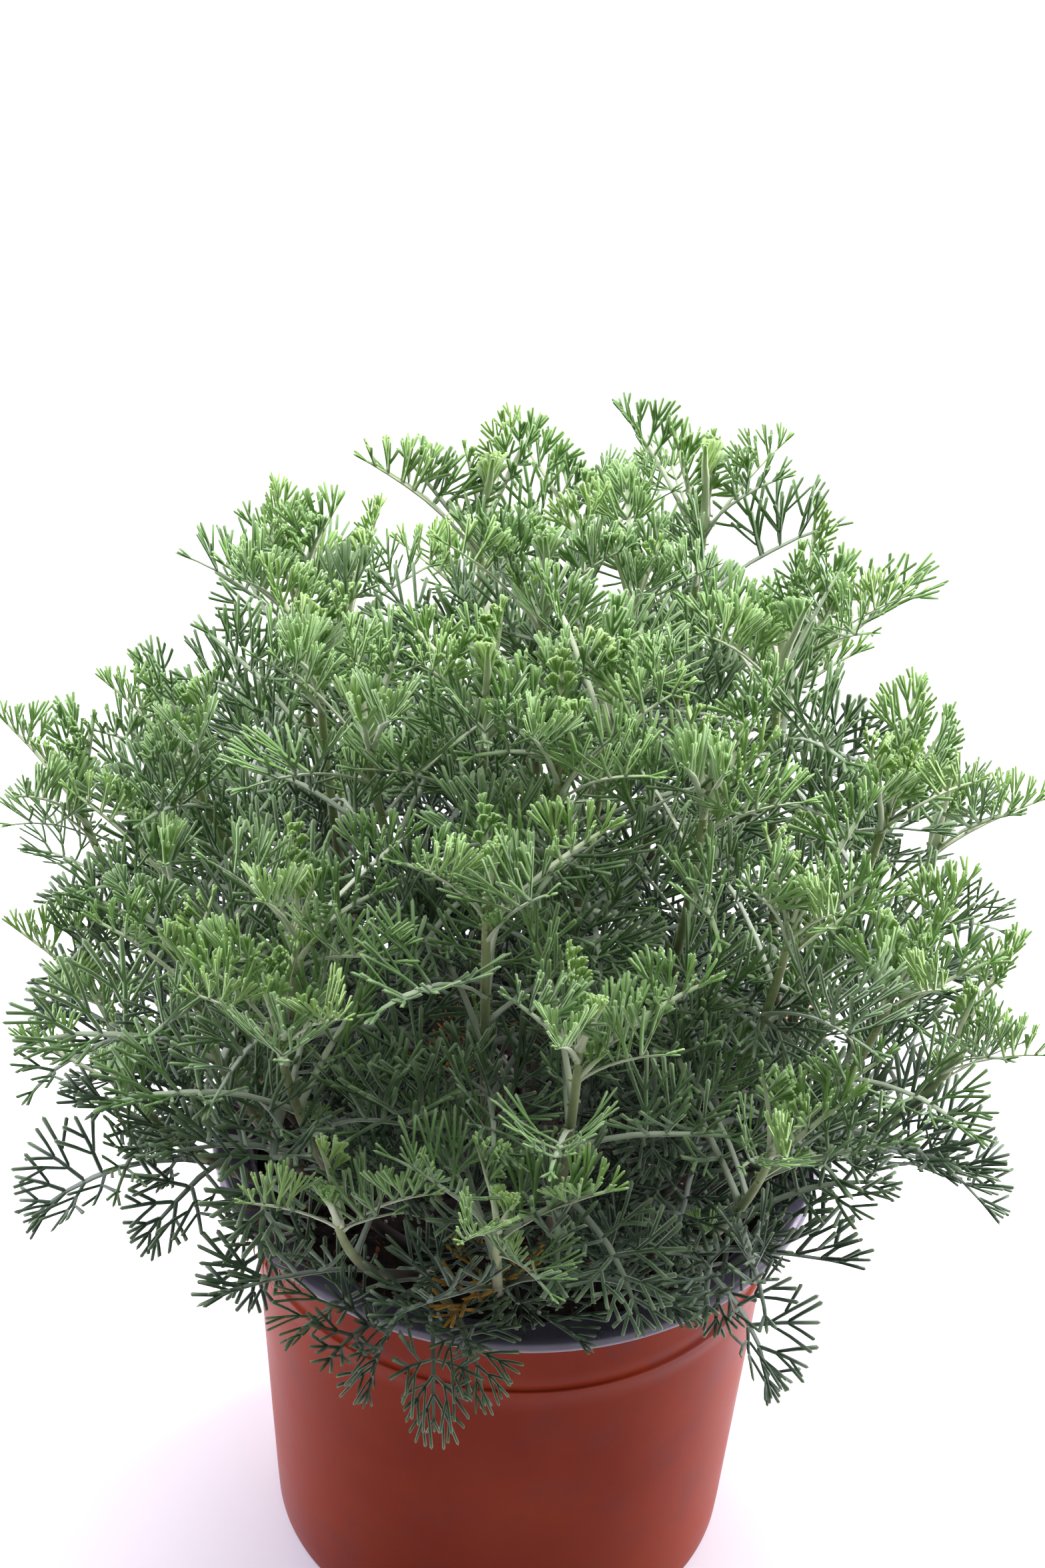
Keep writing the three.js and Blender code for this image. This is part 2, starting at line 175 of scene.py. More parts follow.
# Each row is one leafy stem, as in the solid. Each shoot gives its tip seen from the middle of
# the bush: azimuth and rise in degrees, and reach. The first shoot is the main stem.
LEAFY_STEMS = [
    [(56, 55, 100), (34, 40, 88)],
    [(106, 57, 92), (80, 48, 88)],
    [(90, 76, 80), (48, 70, 78)],
    [(144, 45, 90), (124, 30, 86)],
    [(178, 58, 82), (186, 36, 84)],
    [(172, 15, 98)],
    [(195, 25, 82)],
    [(216, 20, 84), (230, 34, 80)],
    [(277, 66, 82), (302, 72, 80)],
    [(242, 74, 80), (216, 60, 80)],
    [(314, 56, 82)],
    [(316, 36, 84)],
    [(355, 34, 84), (10, 56, 84)],
    [(332, 18, 84)],
    [(346, -2, 90)],
    [(278, 28, 84)],
    [(268, 2, 84)],
    [(246, -4, 82)],
    [(305, 8, 84)],
    [(262, 46, 82)],
    [(234, 22, 84)],
    [(18, 10, 92)],
    [(50, 18, 88)],
    [(78, 4, 88)],
    [(98, 24, 88)],
    [(128, -2, 90)],
    [(152, 12, 88)],
    [(206, -6, 86)],
    [(184, -8, 88)],
]

# The pruned stem at the front rim
CUT_STEM_FOOT = (-15, -48)
CUT_STEM_TOP_SHIFT = (-1.5, -3)
CUT_STEM_HEIGHT = 13
CUT_STEM_RADIUS = 1.9
CUT_STEM_LEAVES = 5
CUT_STEM_LEAF_PLACE = 0.85
CUT_STEM_PETIOLE = 19
CUT_STEM_BLADE = 20
CUT_STEM_LEAF_START = 25
CUT_STEM_LEAF_PITCH = 26
CUT_STEM_LEAF_DROOP = 30

# Its leaves that hang over the rim: azimuth, pitch and droop in degrees, petiole and blade
RIM_LEAVES = [
    (-84, 34, 125, 22, 16),
    (-62, 36, 112, 19, 15),
    (-114, 36, 118, 19, 15),
    (-146, 36, 80, 20, 16),
    (-28, 32, 64, 22, 18),
]
RIM_LEAF_AGE = 0.42
RIM_LEAF_PLACE = 0.9

# The fuller foliage that is only modelled here. A pair of values is for the youngest leaf on the
# shoot and the oldest, or the least and the most that a random draw gives. A step is what each
# further leaf of a tuft has more than the one inside it.
FOLIAGE_SEED = 100
LEAF_SIZES = (1, 0.85, 0.7)
LEAF_SPACING = 10.5
HIGHEST_LEAF = 0.965
LOWEST_LEAF = 0.2
SPIRAL_LEAN = (24, 76)
SPIRAL_DROOP = (26, 72)
SPIRAL_PETIOLE = (11, 19)
SPIRAL_BLADE = (15, 20)
LONGEST_FROM_AGE = 1 / 3
TIP_LEAVES = 5
TUFT_AXIS_PLACE = 0.97
TUFT_LEAN = 3
TUFT_LEAN_STEP = 7
TUFT_DROOP = 4
TUFT_DROOP_STEP = 6
TUFT_PETIOLE = (4, 6)
TUFT_PETIOLE_STEP = 4
TUFT_BLADE = (7, 8)
TUFT_BLADE_STEP = 1.8
TUFT_AGE_STEP = 0.035
TUFT_PLACE_STEP = 0.02
BASAL_LEAVES = 4
LOWEST_BASAL_LEAF = 0.08
HIGHEST_BASAL_LEAF = LOWEST_LEAF + 0.1
BASAL_LEAN = (50, 75)
BASAL_PETIOLE = (12, 19)
BASAL_BLADE = (17, 21)
BASAL_DROOP = (10, 60)
ROLL = (-30, 30)
AXIL_EVERY = 4
AXIL_LEAN = (16, 30)
AXIL_PETIOLE = (4, 8)
AXIL_BLADE = (7, 10)
AXIL_DROOP = 10
UPWARD = 0.35
HEADING_STEP = 0.03
FINE_STEM_RADIUS = 1.35
FINE_TIP_RADIUS = 0.8
STEM_TIP_TAPER = 0.4
LEAF_MARGIN = 5
AXIL_AGE = 0.08

# The bush is open at its left front, where the soil shows: the open way's foot, course and radius
OPEN_WAY_FOOT = np.array([-36.0, -27.0, 96.0])
OPEN_WAY_COURSE = np.array([0.0, -0.81, 0.58])
OPEN_WAY_RADIUS = 17

# Painted shade: leaves low in the bush, where its shade falls, are coloured dark and blue as old ones are
PAINTED_SHADE_TOP = 165
PAINTED_SHADE_DEPTH = 80
PAINTED_SHADE_STRENGTH = 0.45

# The share of the leaves near the foot that have withered
WITHERED_SHARE = 0.12
WITHERED_FROM_AGE = 0.9
WITHERED_BELOW = 118

Z = np.array([0.0, 0.0, 1.0])


def mix(a, b, t):
    return (1 - t) * a + t * b


def seeded_draws(seed):
    """The generator that placed the leaves of the solid, so that the fine ones grow where they are."""
    state = seed

    def draw():
        nonlocal state
        state = (state * 1664525 + 1013904223) % 4294967296
        return state / 4294967296

    for _ in range(3):
        draw()
    return draw


# The plan of the bush, as the solid has it
def bend(foot, tip):
    """A shoot's curve, which spreads from its foot first and then rises to its tip."""
    middle = mix(foot, tip, BEND)
    return lambda t: (1 - t) ** 2 * foot + 2 * (1 - t) * t * middle + t * t * tip


def point_along(points, fraction):
    lengths = [np.linalg.norm(b - a) for a, b in zip(points, points[1:])]
    left = fraction * sum(lengths)
    i = 0
    while i < len(lengths) - 1 and left > lengths[i]:
        left -= lengths[i]
        i += 1
    return mix(points[i], points[i + 1], min(left / lengths[i], 1))


def aim(azimuth, rise, reach):
    azimuth, rise = math.radians(azimuth), math.radians(rise)
    across = math.cos(rise)
    way = np.array([across * math.cos(azimuth), across * math.sin(azimuth), math.sin(rise)])
    return reach * way + BUSH_CENTRE


def make_shoot(curve, steps, azimuth, main):
    path = [curve(i / steps) for i in range(steps + 1)]
    return SimpleNamespace(curve=curve, path=path, azimuth=azimuth, main=main)


def plan_stem(index, shoots):
    tip = aim(*shoots[0])
    azimuth = math.radians(shoots[0][0])
    out = STEM_FOOT_NEAR + STEM_FOOT_SPREAD * math.cos(math.radians(shoots[0][1]))
    foot = np.array([out * math.cos(azimuth), out * math.sin(azimuth), SOIL_HEIGHT + 1])
    main = bend(foot, tip)
    stem = SimpleNamespace(index=index, name=f"leafy_stem_{index + 1:02d}", foot=foot, cut=False, leaves=[])
    stem.shoots = [make_shoot(main, MAIN_STEM_STEPS, azimuth, True)]
    for side in shoots[1:]:
        fork = main(SIDE_SHOOT_START)
        end = aim(*side)
        heading = math.atan2(end[1] - fork[1], end[0] - fork[0])
        stem.shoots.append(make_shoot(bend(fork, end), SIDE_SHOOT_STEPS, heading, False))
    return stem


def plan_cut_stem(index):
    foot = np.array([*CUT_STEM_FOOT, SOIL_HEIGHT + 1])
    top = foot + np.array([*CUT_STEM_TOP_SHIFT, CUT_STEM_HEIGHT])
    stem = SimpleNamespace(index=index, name="cut_stem", foot=foot, cut=True, leaves=[])
    stem.shoots = [make_shoot(lambda t: mix(foot, top, t), 2, math.radians(-90), True)]
    return stem


# Pairs of lobes of the solid's blades, as fractions of its length: from, to, along, out
FULL_LOBES = [(0, 0.3, 0.36, 0.51), (0.3, 0.54, 0.69, 0.47), (0.54, 0.74, 0.92, 0.27)]
SHORT_LOBES = [(0, 0.38, 0.48, 0.52), (0.38, 0.66, 0.84, 0.38)]


def leaf_points(leaf, s, v):
    """Points of a leaf at s along its bent midline and v across it."""
    s, v = np.asarray(s, float)[:, None], np.asarray(v, float)[:, None]
    length = leaf.petiole + leaf.blade
    pitch = leaf.pitch - leaf.droop * s / length
    curl = leaf.droop / length
    out = (math.sin(leaf.pitch) - np.sin(pitch)) / curl
    up = (np.cos(pitch) - math.cos(leaf.pitch)) / curl
    heading = np.array([math.cos(leaf.azimuth), math.sin(leaf.azimuth), 0])
    side = np.array([-heading[1], heading[0], 0])
    normal = -np.sin(pitch) * heading + np.cos(pitch) * Z
    tilted_side = side * math.cos(leaf.roll) + normal * math.sin(leaf.roll)
    tilted_normal = normal * math.cos(leaf.roll) - side * math.sin(leaf.roll)
    return leaf.root + out * heading + up * Z + v * tilted_side + leaf.cup * v * v * tilted_normal


def balls_of_leaf(leaf):
    """Balls that fill a leaf: their places along it, their centres and their radii."""
    rows = [(s, 0, PETIOLE_BALL) for s in np.arange(BALL_STEP, leaf.petiole, BALL_STEP)]
    s = leaf.petiole
    while s < leaf.petiole + leaf.blade - 1:
        rows.append((s, 0, RIB_BALL))
        s += BALL_STEP
    for start, end, along, out in leaf.lobes:
        half_width = 0.4 * (end - start) * leaf.blade
        for f in LOBE_BALL_PLACES:
            s = leaf.petiole + mix((start + end) / 2, along, f) * leaf.blade
            radius = half_width * (1 - f) + LEAF_THICKNESS / 2
            rows.append((s, out * leaf.blade * f, radius))
            rows.append((s, -out * leaf.blade * f, radius))
    rows = np.array(rows)
    return rows[:, 0], leaf_points(leaf, rows[:, 0], rows[:, 1]), rows[:, 2]


def outer_wall(z):
    return COLLAR_RADIUS - COLLAR_STEP - WALL_TAPER * (POT_HEIGHT - RIM_LIP_HEIGHT - z)


def inner_wall(z):
    return outer_wall(z) - WALL_THICKNESS


def clear_of_pot(at, radius):
    out = np.hypot(at[:, 0], at[:, 1])
    outside = (at[:, 2] > POT_HEIGHT + CLEARANCE + radius) | (out > RIM_RADIUS + CLEARANCE + radius)
    over_soil = at[:, 2] > SOIL_HEIGHT + 1.5 * SOIL_RELIEF + radius
    return outside | (over_soil & (out < inner_wall(SOIL_HEIGHT) - CLEARANCE - radius))


class Room:
    """The balls of all that has grown, which a new leaf stays clear of."""

    def __init__(self):
        self.s, self.at, self.radius, self.stem = np.zeros(0), np.zeros((0, 3)), np.zeros(0), np.zeros(0)

    def take(self, s, at, radius, stem):
        self.s = np.append(self.s, s)
        self.at = np.vstack([self.at, at])
        self.radius = np.append(self.radius, radius)
        self.stem = np.append(self.stem, np.full(len(radius), stem))

    def clear(self, s, at, radius, stem):
        apart = radius[:, None] + self.radius[None, :] + CLEARANCE
        near = ((at[:, None, :] - self.at[None, :, :]) ** 2).sum(2) <= apart * apart
        at_root = (s < ROOT_STRETCH)[:, None] | (self.s < ROOT_STRETCH)[None, :]
        own_root = (self.stem == stem)[None, :] & at_root
        return not (near & ~own_root).any()


def wish_for_bud(shoot):
    run = shoot.path[-1] - shoot.path[-2]
    return SimpleNamespace(
        along=BUD_PLACE, lobes=SHORT_LOBES, cup=BUD_CUP, petiole=BUD_PETIOLE, blade=BUD_BLADE,
        azimuth=shoot.azimuth, pitch=math.atan2(run[2], math.hypot(run[0], run[1])),
        droop=math.radians(BUD_DROOP), sway=0, age=0,
    )


def wish_for_leaf(shoot, turn, count, seed):
    draw = seeded_draws(seed + 7)
    age = turn / (count - 1)
    petiole = mix(YOUNG_PETIOLE, OLD_PETIOLE, age) * (0.85 + 0.3 * draw())
    blade = mix(YOUNG_BLADE, OLD_BLADE, math.sqrt(age)) * (0.9 + 0.2 * draw())
    return SimpleNamespace(
        along=TOP_LEAF_PLACE - LEAFY_SHARE * age, cup=LEAF_CUP, petiole=petiole, blade=blade,
        lobes=SHORT_LOBES if age > SHORT_LOBES_FROM_AGE else FULL_LOBES,
        azimuth=shoot.azimuth + math.radians(GOLDEN_ANGLE * turn + SPIRAL_START),
        pitch=math.radians(mix(YOUNG_PITCH, OLD_PITCH, age)),
        droop=math.radians(mix(YOUNG_DROOP, OLD_DROOP, age)), sway=1, age=mix(0.2, 0.8, age),
    )


def wish_for_cut_stem(shoot, turn, count):
    return SimpleNamespace(
        along=CUT_STEM_LEAF_PLACE, lobes=FULL_LOBES, cup=LEAF_CUP, petiole=CUT_STEM_PETIOLE,
        blade=CUT_STEM_BLADE,
        azimuth=shoot.azimuth + math.radians(360 / count * turn + CUT_STEM_LEAF_START),
        pitch=math.radians(CUT_STEM_LEAF_PITCH), droop=math.radians(CUT_STEM_LEAF_DROOP), sway=1,
        age=0.9,
    )


def grow_leaf(room, stem, shoot, wish, seed):
    draw = seeded_draws(seed)
    for attempt in range(TRIES):
        looser = attempt / TRIES
        size = mix(1, SMALLEST_SIZE, math.floor(looser * 3) / 3)
        leaf = SimpleNamespace(
            root=point_along(shoot.path, wish.along), lobes=wish.lobes, cup=wish.cup,
            petiole=wish.petiole * size, blade=wish.blade * size, age=wish.age, along=wish.along,
        )
        turned = math.radians(AZIMUTH_SWAY + MORE_AZIMUTH_SWAY * looser)
        pitched = math.radians(PITCH_SWAY + MORE_PITCH_SWAY * looser)
        leaf.azimuth = wish.azimuth + (draw() - 0.5) * wish.sway * turned
        leaf.pitch = wish.pitch + (draw() - 0.5) * wish.sway * pitched
        leaf.droop = wish.droop * (0.7 + 0.6 * draw())
        leaf.roll = (draw() - 0.5) * wish.sway * math.radians(ROLL_SWAY)
        s, at, radius = balls_of_leaf(leaf)
        if clear_of_pot(at, radius).all() and room.clear(s, at, radius, stem.index):
            room.take(s, at, radius, stem.index)
            return leaf
    return None


def leaf_count(stem, shoot):
    """How many leaves the solid's rule wishes for on a shoot, without its bud."""
    if stem.cut:
        return CUT_STEM_LEAVES
    return LEAVES_ON_STEM if shoot.main else LEAVES_ON_SIDE_SHOOT


def grow_turn(room, plan, turn):
    """One leaf on every shoot that has room for it. Turn -1 is that of the buds, which only keep
    their room: the tufts of the fuller foliage stand for them."""
    for stem in plan:
        for k, shoot in enumerate(stem.shoots):
            count = leaf_count(stem, shoot)
            if turn >= count or (turn < 0 and stem.cut):
                continue
            seed = 1000 * (stem.index + 1) + 100 * k + turn
            if turn < 0:
                wish = wish_for_bud(shoot)
            elif stem.cut:
                wish = wish_for_cut_stem(shoot, turn, count)
            else:
                wish = wish_for_leaf(shoot, turn, count, seed)
            leaf = grow_leaf(room, stem, shoot, wish, seed)
            if leaf and turn >= 0:
                stem.leaves.append(leaf)


def plan_bush():
    """Every stem with its shoots, and the leaves where the solid has them."""
    plan = [plan_stem(i, shoots) for i, shoots in enumerate(LEAFY_STEMS)]
    plan.append(plan_cut_stem(len(plan)))
    room = Room()
    for stem in plan:
        for shoot in stem.shoots:
            at = np.array([point_along(shoot.path, i / (STEM_BALLS - 1)) for i in range(STEM_BALLS)])
            room.take(np.full(STEM_BALLS, np.inf), at, np.full(STEM_BALLS, STEM_RADIUS), stem.index)
    for turn in range(-1, CUT_STEM_LEAVES):
        grow_turn(room, plan, turn)
    return plan


# The fuller foliage: more leaves along every shoot, and a tuft of clenched ones at its tip
def shoot_length(shoot):
    return sum(np.linalg.norm(b - a) for a, b in zip(shoot.path, shoot.path[1:]))


def free_leaf(root, along, age, petiole, blade, azimuth, pitch, droop, roll, cup=LEAF_CUP):
    return SimpleNamespace(
        root=root, along=along, age=age, lobes=FULL_LOBES, petiole=petiole, blade=blade, azimuth=azimuth,
        pitch=pitch, droop=droop, roll=roll, cup=cup,
    )


def along_shoot(shoot, place):
    """The way that the shoot runs at a place on it."""
    return unit(shoot.curve(min(place + HEADING_STEP, 1)) - shoot.curve(place - HEADING_STEP))


def leaning(axis, turn, lean):
    """The way that leans out from an axis, turned round it by an angle."""
    across = unit(np.cross(axis, Z + 1e-4))
    side = math.cos(turn) * across + math.sin(turn) * np.cross(axis, across)
    return math.cos(lean) * axis + math.sin(lean) * side


def in_reach(at):
    low, high = np.array(cad_low) / MM - LEAF_MARGIN, np.array(cad_high) / MM + LEAF_MARGIN
    return (at > low).all() and (at < high).all()


def clear_of_open_way(at):
    along = np.maximum((at - OPEN_WAY_FOOT) @ OPEN_WAY_COURSE, 0)
    nearest = OPEN_WAY_FOOT + along[:, None] * OPEN_WAY_COURSE
    return (np.linalg.norm(at - nearest, axis=1) > OPEN_WAY_RADIUS).all()


def add_leaf_if_clear(stem, root, along, age, petiole, blade, way, droop, roll):
    """Adds a leaf, smaller where the full one would not be clear of the pot and the open way."""
    for size in LEAF_SIZES:
        leaf = free_leaf(
            root=root, along=along, age=age, petiole=petiole * size, blade=blade * size,
            azimuth=math.atan2(way[1], way[0]), pitch=math.asin(way[2]), droop=droop, roll=roll,
        )
        _, at, radius = balls_of_leaf(leaf)
        if clear_of_pot(at, radius).all() and in_reach(at) and clear_of_open_way(at):
            stem.leaves.append(leaf)
            return


def more_leaves(stem, shoot, rng):
    """Leaves in a spiral down the shoot: short and erect near the tip, longer and spreading below.
    Some have a young tuft in their axil."""
    count = round(shoot_length(shoot) / LEAF_SPACING)
    for j in range(count):
        age = (j + 0.5) / count
        grown = min(age / LONGEST_FROM_AGE, 1)
        along = mix(HIGHEST_LEAF, LOWEST_LEAF, age ** 1.2)
        turn = math.radians(GOLDEN_ANGLE * j + rng.uniform(-25, 25))
        lean = math.radians(mix(*SPIRAL_LEAN, age ** 0.6) + rng.uniform(-9, 9))
        way = unit(leaning(along_shoot(shoot, along), turn, lean) + UPWARD * Z)
        petiole = mix(*SPIRAL_PETIOLE, grown) * rng.uniform(0.8, 1.2)
        blade = mix(*SPIRAL_BLADE, grown) * rng.uniform(0.9, 1.12)
        droop = math.radians(mix(*SPIRAL_DROOP, age ** 0.7) * rng.uniform(0.6, 1.4))
        roll = math.radians(rng.uniform(*ROLL))
        root = point_along(shoot.path, along)
        add_leaf_if_clear(stem, root, along, mix(0.2, 1, age), petiole, blade, way, droop, roll)
        if j % AXIL_EVERY == 1:
            turn += rng.uniform(-0.3, 0.3)
            way = unit(leaning(along_shoot(shoot, along), turn, math.radians(rng.uniform(*AXIL_LEAN))))
            petiole, blade = rng.uniform(*AXIL_PETIOLE), rng.uniform(*AXIL_BLADE)
            add_leaf_if_clear(
                stem, root, along, AXIL_AGE, petiole, blade, way, math.radians(AXIL_DROOP), roll
            )


def basal_leaves(stem, shoot, rng):
    """Old leaves near the foot, which darken the middle of the bush."""
    for j in range(BASAL_LEAVES):
        along = mix(LOWEST_BASAL_LEAF, HIGHEST_BASAL_LEAF, j / (BASAL_LEAVES - 1))
        turn = math.radians(GOLDEN_ANGLE * j + rng.uniform(0, 360))
        way = unit(leaning(along_shoot(shoot, along), turn, math.radians(rng.uniform(*BASAL_LEAN))))
        petiole, blade = rng.uniform(*BASAL_PETIOLE), rng.uniform(*BASAL_BLADE)
        droop, roll = math.radians(rng.uniform(*BASAL_DROOP)), math.radians(rng.uniform(*ROLL))
        root = point_along(shoot.path, along)
        add_leaf_if_clear(stem, root, along, 1, petiole, blade, way, droop, roll)


def tip_tuft(stem, shoot, rng):
    """Clenched young leaves round the growing tip, which open as they stand further out."""
    axis = along_shoot(shoot, TUFT_AXIS_PLACE)
    for j in range(TIP_LEAVES):
        turn = math.radians(GOLDEN_ANGLE * j + rng.uniform(-12, 12))
        way = leaning(axis, turn, math.radians(TUFT_LEAN + TUFT_LEAN_STEP * j + rng.uniform(-2, 2)))
        along = 1.0 - TUFT_PLACE_STEP * j
        stem.leaves.append(free_leaf(
            root=point_along(shoot.path, along),
            along=along,
            age=TUFT_AGE_STEP * j,
            petiole=rng.uniform(*TUFT_PETIOLE) + TUFT_PETIOLE_STEP * j,
            blade=rng.uniform(*TUFT_BLADE) + TUFT_BLADE_STEP * j,
            azimuth=math.atan2(way[1], way[0]),
            pitch=math.asin(way[2]),
            droop=math.radians(TUFT_DROOP + TUFT_DROOP_STEP * j),
            roll=math.radians(rng.uniform(-15, 15)),
            cup=BUD_CUP,
        ))


def rim_leaves(stem):
    """The leaves round the cut end, which hang over the rim of the pot."""
    root = point_along(stem.shoots[0].path, RIM_LEAF_PLACE)
    for *angles, petiole, blade in RIM_LEAVES:
        azimuth, pitch, droop = (math.radians(angle) for angle in angles)
        leaf = free_leaf(
            root=root, along=RIM_LEAF_PLACE, age=RIM_LEAF_AGE, petiole=petiole, blade=blade,
            azimuth=azimuth, pitch=pitch, droop=droop, roll=0,
        )
        _, at, radius = balls_of_leaf(leaf)
        if clear_of_pot(at, radius).all():
            stem.leaves.append(leaf)


def fuller_bush(plan):
    for stem in plan:
        rng = np.random.default_rng(FOLIAGE_SEED + stem.index)
        if stem.cut:
            rim_leaves(stem)
        for shoot in stem.shoots:
            if not stem.cut:
                more_leaves(stem, shoot, rng)
                if shoot.main:
                    basal_leaves(stem, shoot, rng)
                tip_tuft(stem, shoot, rng)
        for leaf in stem.leaves:
            # Painted shade: the lower a leaf stands, the further its colour and its kind of form are pushed
            # towards those of old leaves
            shade = min(max((PAINTED_SHADE_TOP - leaf.root[2]) / PAINTED_SHADE_DEPTH, 0), 1)
            leaf.look = leaf.age + PAINTED_SHADE_STRENGTH * shade * min(leaf.age * 3, 1)
            low_and_old = leaf.age > WITHERED_FROM_AGE and leaf.root[2] < WITHERED_BELOW
            leaf.withered = float(low_and_old and rng.random() < WITHERED_SHARE)


# Leaf forms: meshes in blade lengths, with x from -1 to 0 along the petiole, however long that is,
# and from 0 to 1 along the blade. Their part attribute runs from -1 at the foot of the petiole to 1
# at the tips of the lobes.
LOBE_SECTION = ((1, -0.5), (0, 1), (-1, -0.5))
CHANNEL_SECTION = ((1, 0.4), (0, -0.1), (-1, 0.4), (-0.75, -0.5), (0, -0.85), (0.75, -0.5))

# The way that segments and lobes bend as they grow: up from the blade and on towards its tip
LOBE_BEND = np.array([0.45, 0, 0.9])

# Steps along a lobe and a segment with their widths, and along the petiole and rib with theirs
LOBE_STEPS = (0, 0.08, 0.5, 0.95, 1)
LOBE_WIDTHS = (0, 0.85, 0.95, 1.05, 0)
LOBE_FLATNESS = 0.85
SEGMENT_STEPS = (0, 0.06, 0.5, 0.96, 1)
SEGMENT_WIDTHS = (0, 1.2, 1.05, 0.95, 0)
SEGMENT_PARTS = (0.1, 0.2, 0.6, 1, 1)
RIB_STEPS = (-1, -0.98, -0.75, -0.45, -0.15, 0.1, 0.4, 0.7, 0.96, 1)
RIB_WIDTHS = (0, 1.6, 1.1, 1, 0.95, 1, 0.8, 0.65, 0.5, 0)
RIB_PARTS = (-1, -1, -0.8, -0.5, -0.2, -0.1, 0.05, 0.2, 1, 1)
RIB_HEIGHT = 0.75
RIB_WAVE = 0.012

# How much steeper or flatter the segments of each form of a kind rise
RISES = (0.7, 1.1, 1.5, 1.9)

# Where the last two lobes leave the rib, and the two stipules the petiole
END_FORK = 0.78
STIPULE_PLACE = -0.97


class Form:
    """Collects the tubes of one leaf form, each with pointed closed ends."""

    def __init__(self):
        self.points, self.faces, self.part = [], [], []

    def tube(self, path, half_widths, half_heights, parts, section=LOBE_SECTION):
        path = np.asarray(path, float)
        start, n = len(self.points), len(section)
        self.points.append(path[0])
        self.part.append(parts[0])
        for i in range(1, len(path) - 1):
            run = path[i + 1] - path[i - 1]
            run /= np.linalg.norm(run)
            side = np.cross(Z, run)
            side = unit(side) if np.linalg.norm(side) > 1e-6 else np.array([0.0, 1.0, 0.0])
            lift = np.cross(run, side)
            for a, b in section:
                self.points.append(path[i] + side * a * half_widths[i] + lift * b * half_heights[i])
                self.part.append(parts[i])
        self.points.append(path[-1])
        self.part.append(parts[-1])
        rings = len(path) - 2
        ring = [[start + 1 + r * n + k for k in range(n)] for r in range(rings)]
        end = start + 1 + rings * n
        for k in range(n):
            m = (k + 1) % n
            self.faces.append((start, ring[0][m], ring[0][k]))
            for low, high in zip(ring, ring[1:]):
                self.faces.append((low[k], low[m], high[m], high[k]))
            self.faces.append((ring[-1][k], ring[-1][m], end))

    def lobe(self, base, way, length, half_width, part, gather=0.0):
        """One ultimate lobe: linear, a little wider towards its blunt tip, and bent as it grows."""
        path = [base + length * (way * t + gather * LOBE_BEND * t * t) for t in LOBE_STEPS]
        widths = [half_width * w for w in LOBE_WIDTHS]
        self.tube(path, widths, [w * LOBE_FLATNESS for w in widths], (part, part, mix(part, 1, 0.5), 1, 1))

    def mesh(self, name, label=None):
        """The tubes as a mesh, with their parts as its attribute of this name."""
        mesh = bpy.data.meshes.new(name)
        mesh.from_pydata([tuple(p) for p in self.points], [], self.faces)
        if label:
            mesh.attributes.new(label, "FLOAT", "POINT").data.foreach_set("value", self.part)
        return mesh


def unit(vector):
    return vector / np.linalg.norm(vector)


def grow_lobe(form, rng, kind, base, way, up, length, side):
    """A lobe from a segment, with a shorter one on its outer side where it is long enough."""
    half_width = kind.lobe_half_width * rng.uniform(0.9, 1.1)
    form.lobe(base, way, length, half_width, 0.4, kind.gather)
    if length > kind.twin_from:
        at = rng.uniform(0.28, 0.42)
        spread = math.radians(kind.lobe_spread * rng.uniform(0.8, 1.2))
        twin_way = way * math.cos(spread) + np.cross(up, way) * side * math.sin(spread)
        twin_way = unit(twin_way + up * rng.uniform(-0.05, 0.25))
        fork = base + length * (way * at + kind.gather * LOBE_BEND * at * at)
        form.lobe(fork, twin_way, length * (1 - at) * rng.uniform(0.85, 1.05), half_width, 0.5, kind.gather)


def grow_segment(form, rng, kind, base, side, reach, angle, rise, forks):
    """A first division of the blade. Its side lobes reach as far as it does, so they end in one fan."""
    angle = math.radians(angle + rng.uniform(-6, 6))
    rise = math.radians(rise + rng.uniform(-7, 7))
    reach = reach * rng.uniform(0.9, 1.1)
    level = math.cos(rise)
    way = np.array([math.cos(angle) * level, side * math.sin(angle) * level, math.sin(rise)])
    turn = kind.gather * LOBE_BEND

    def place(f):
        return base + reach * (way * f + turn * f * f)

    widths = [kind.lobe_half_width * w for w in SEGMENT_WIDTHS]
    heights = [w * LOBE_FLATNESS for w in widths]
    form.tube([place(f) for f in SEGMENT_STEPS], widths, heights, SEGMENT_PARTS)
    for f, both in forks:
        along = unit(place(f + 0.05) - place(f - 0.05))
        up = unit(Z - along * along[2])
        across = np.cross(up, along)
        for k in ((-1, 1) if both else (rng.choice((-1, 1)),)):
            spread = math.radians(kind.lobe_spread * rng.uniform(0.75, 1.25))
            lift = math.sin(spread) * rng.uniform(0.1, 0.9)
            lobe_way = unit(along * math.cos(spread) + across * k * math.sin(spread) + up * lift)
            length = max(reach * (1.02 - f), kind.shortest_lobe) * rng.uniform(0.85, 1.12)
            grow_lobe(form, rng, kind, place(f), lobe_way, up, length, k)


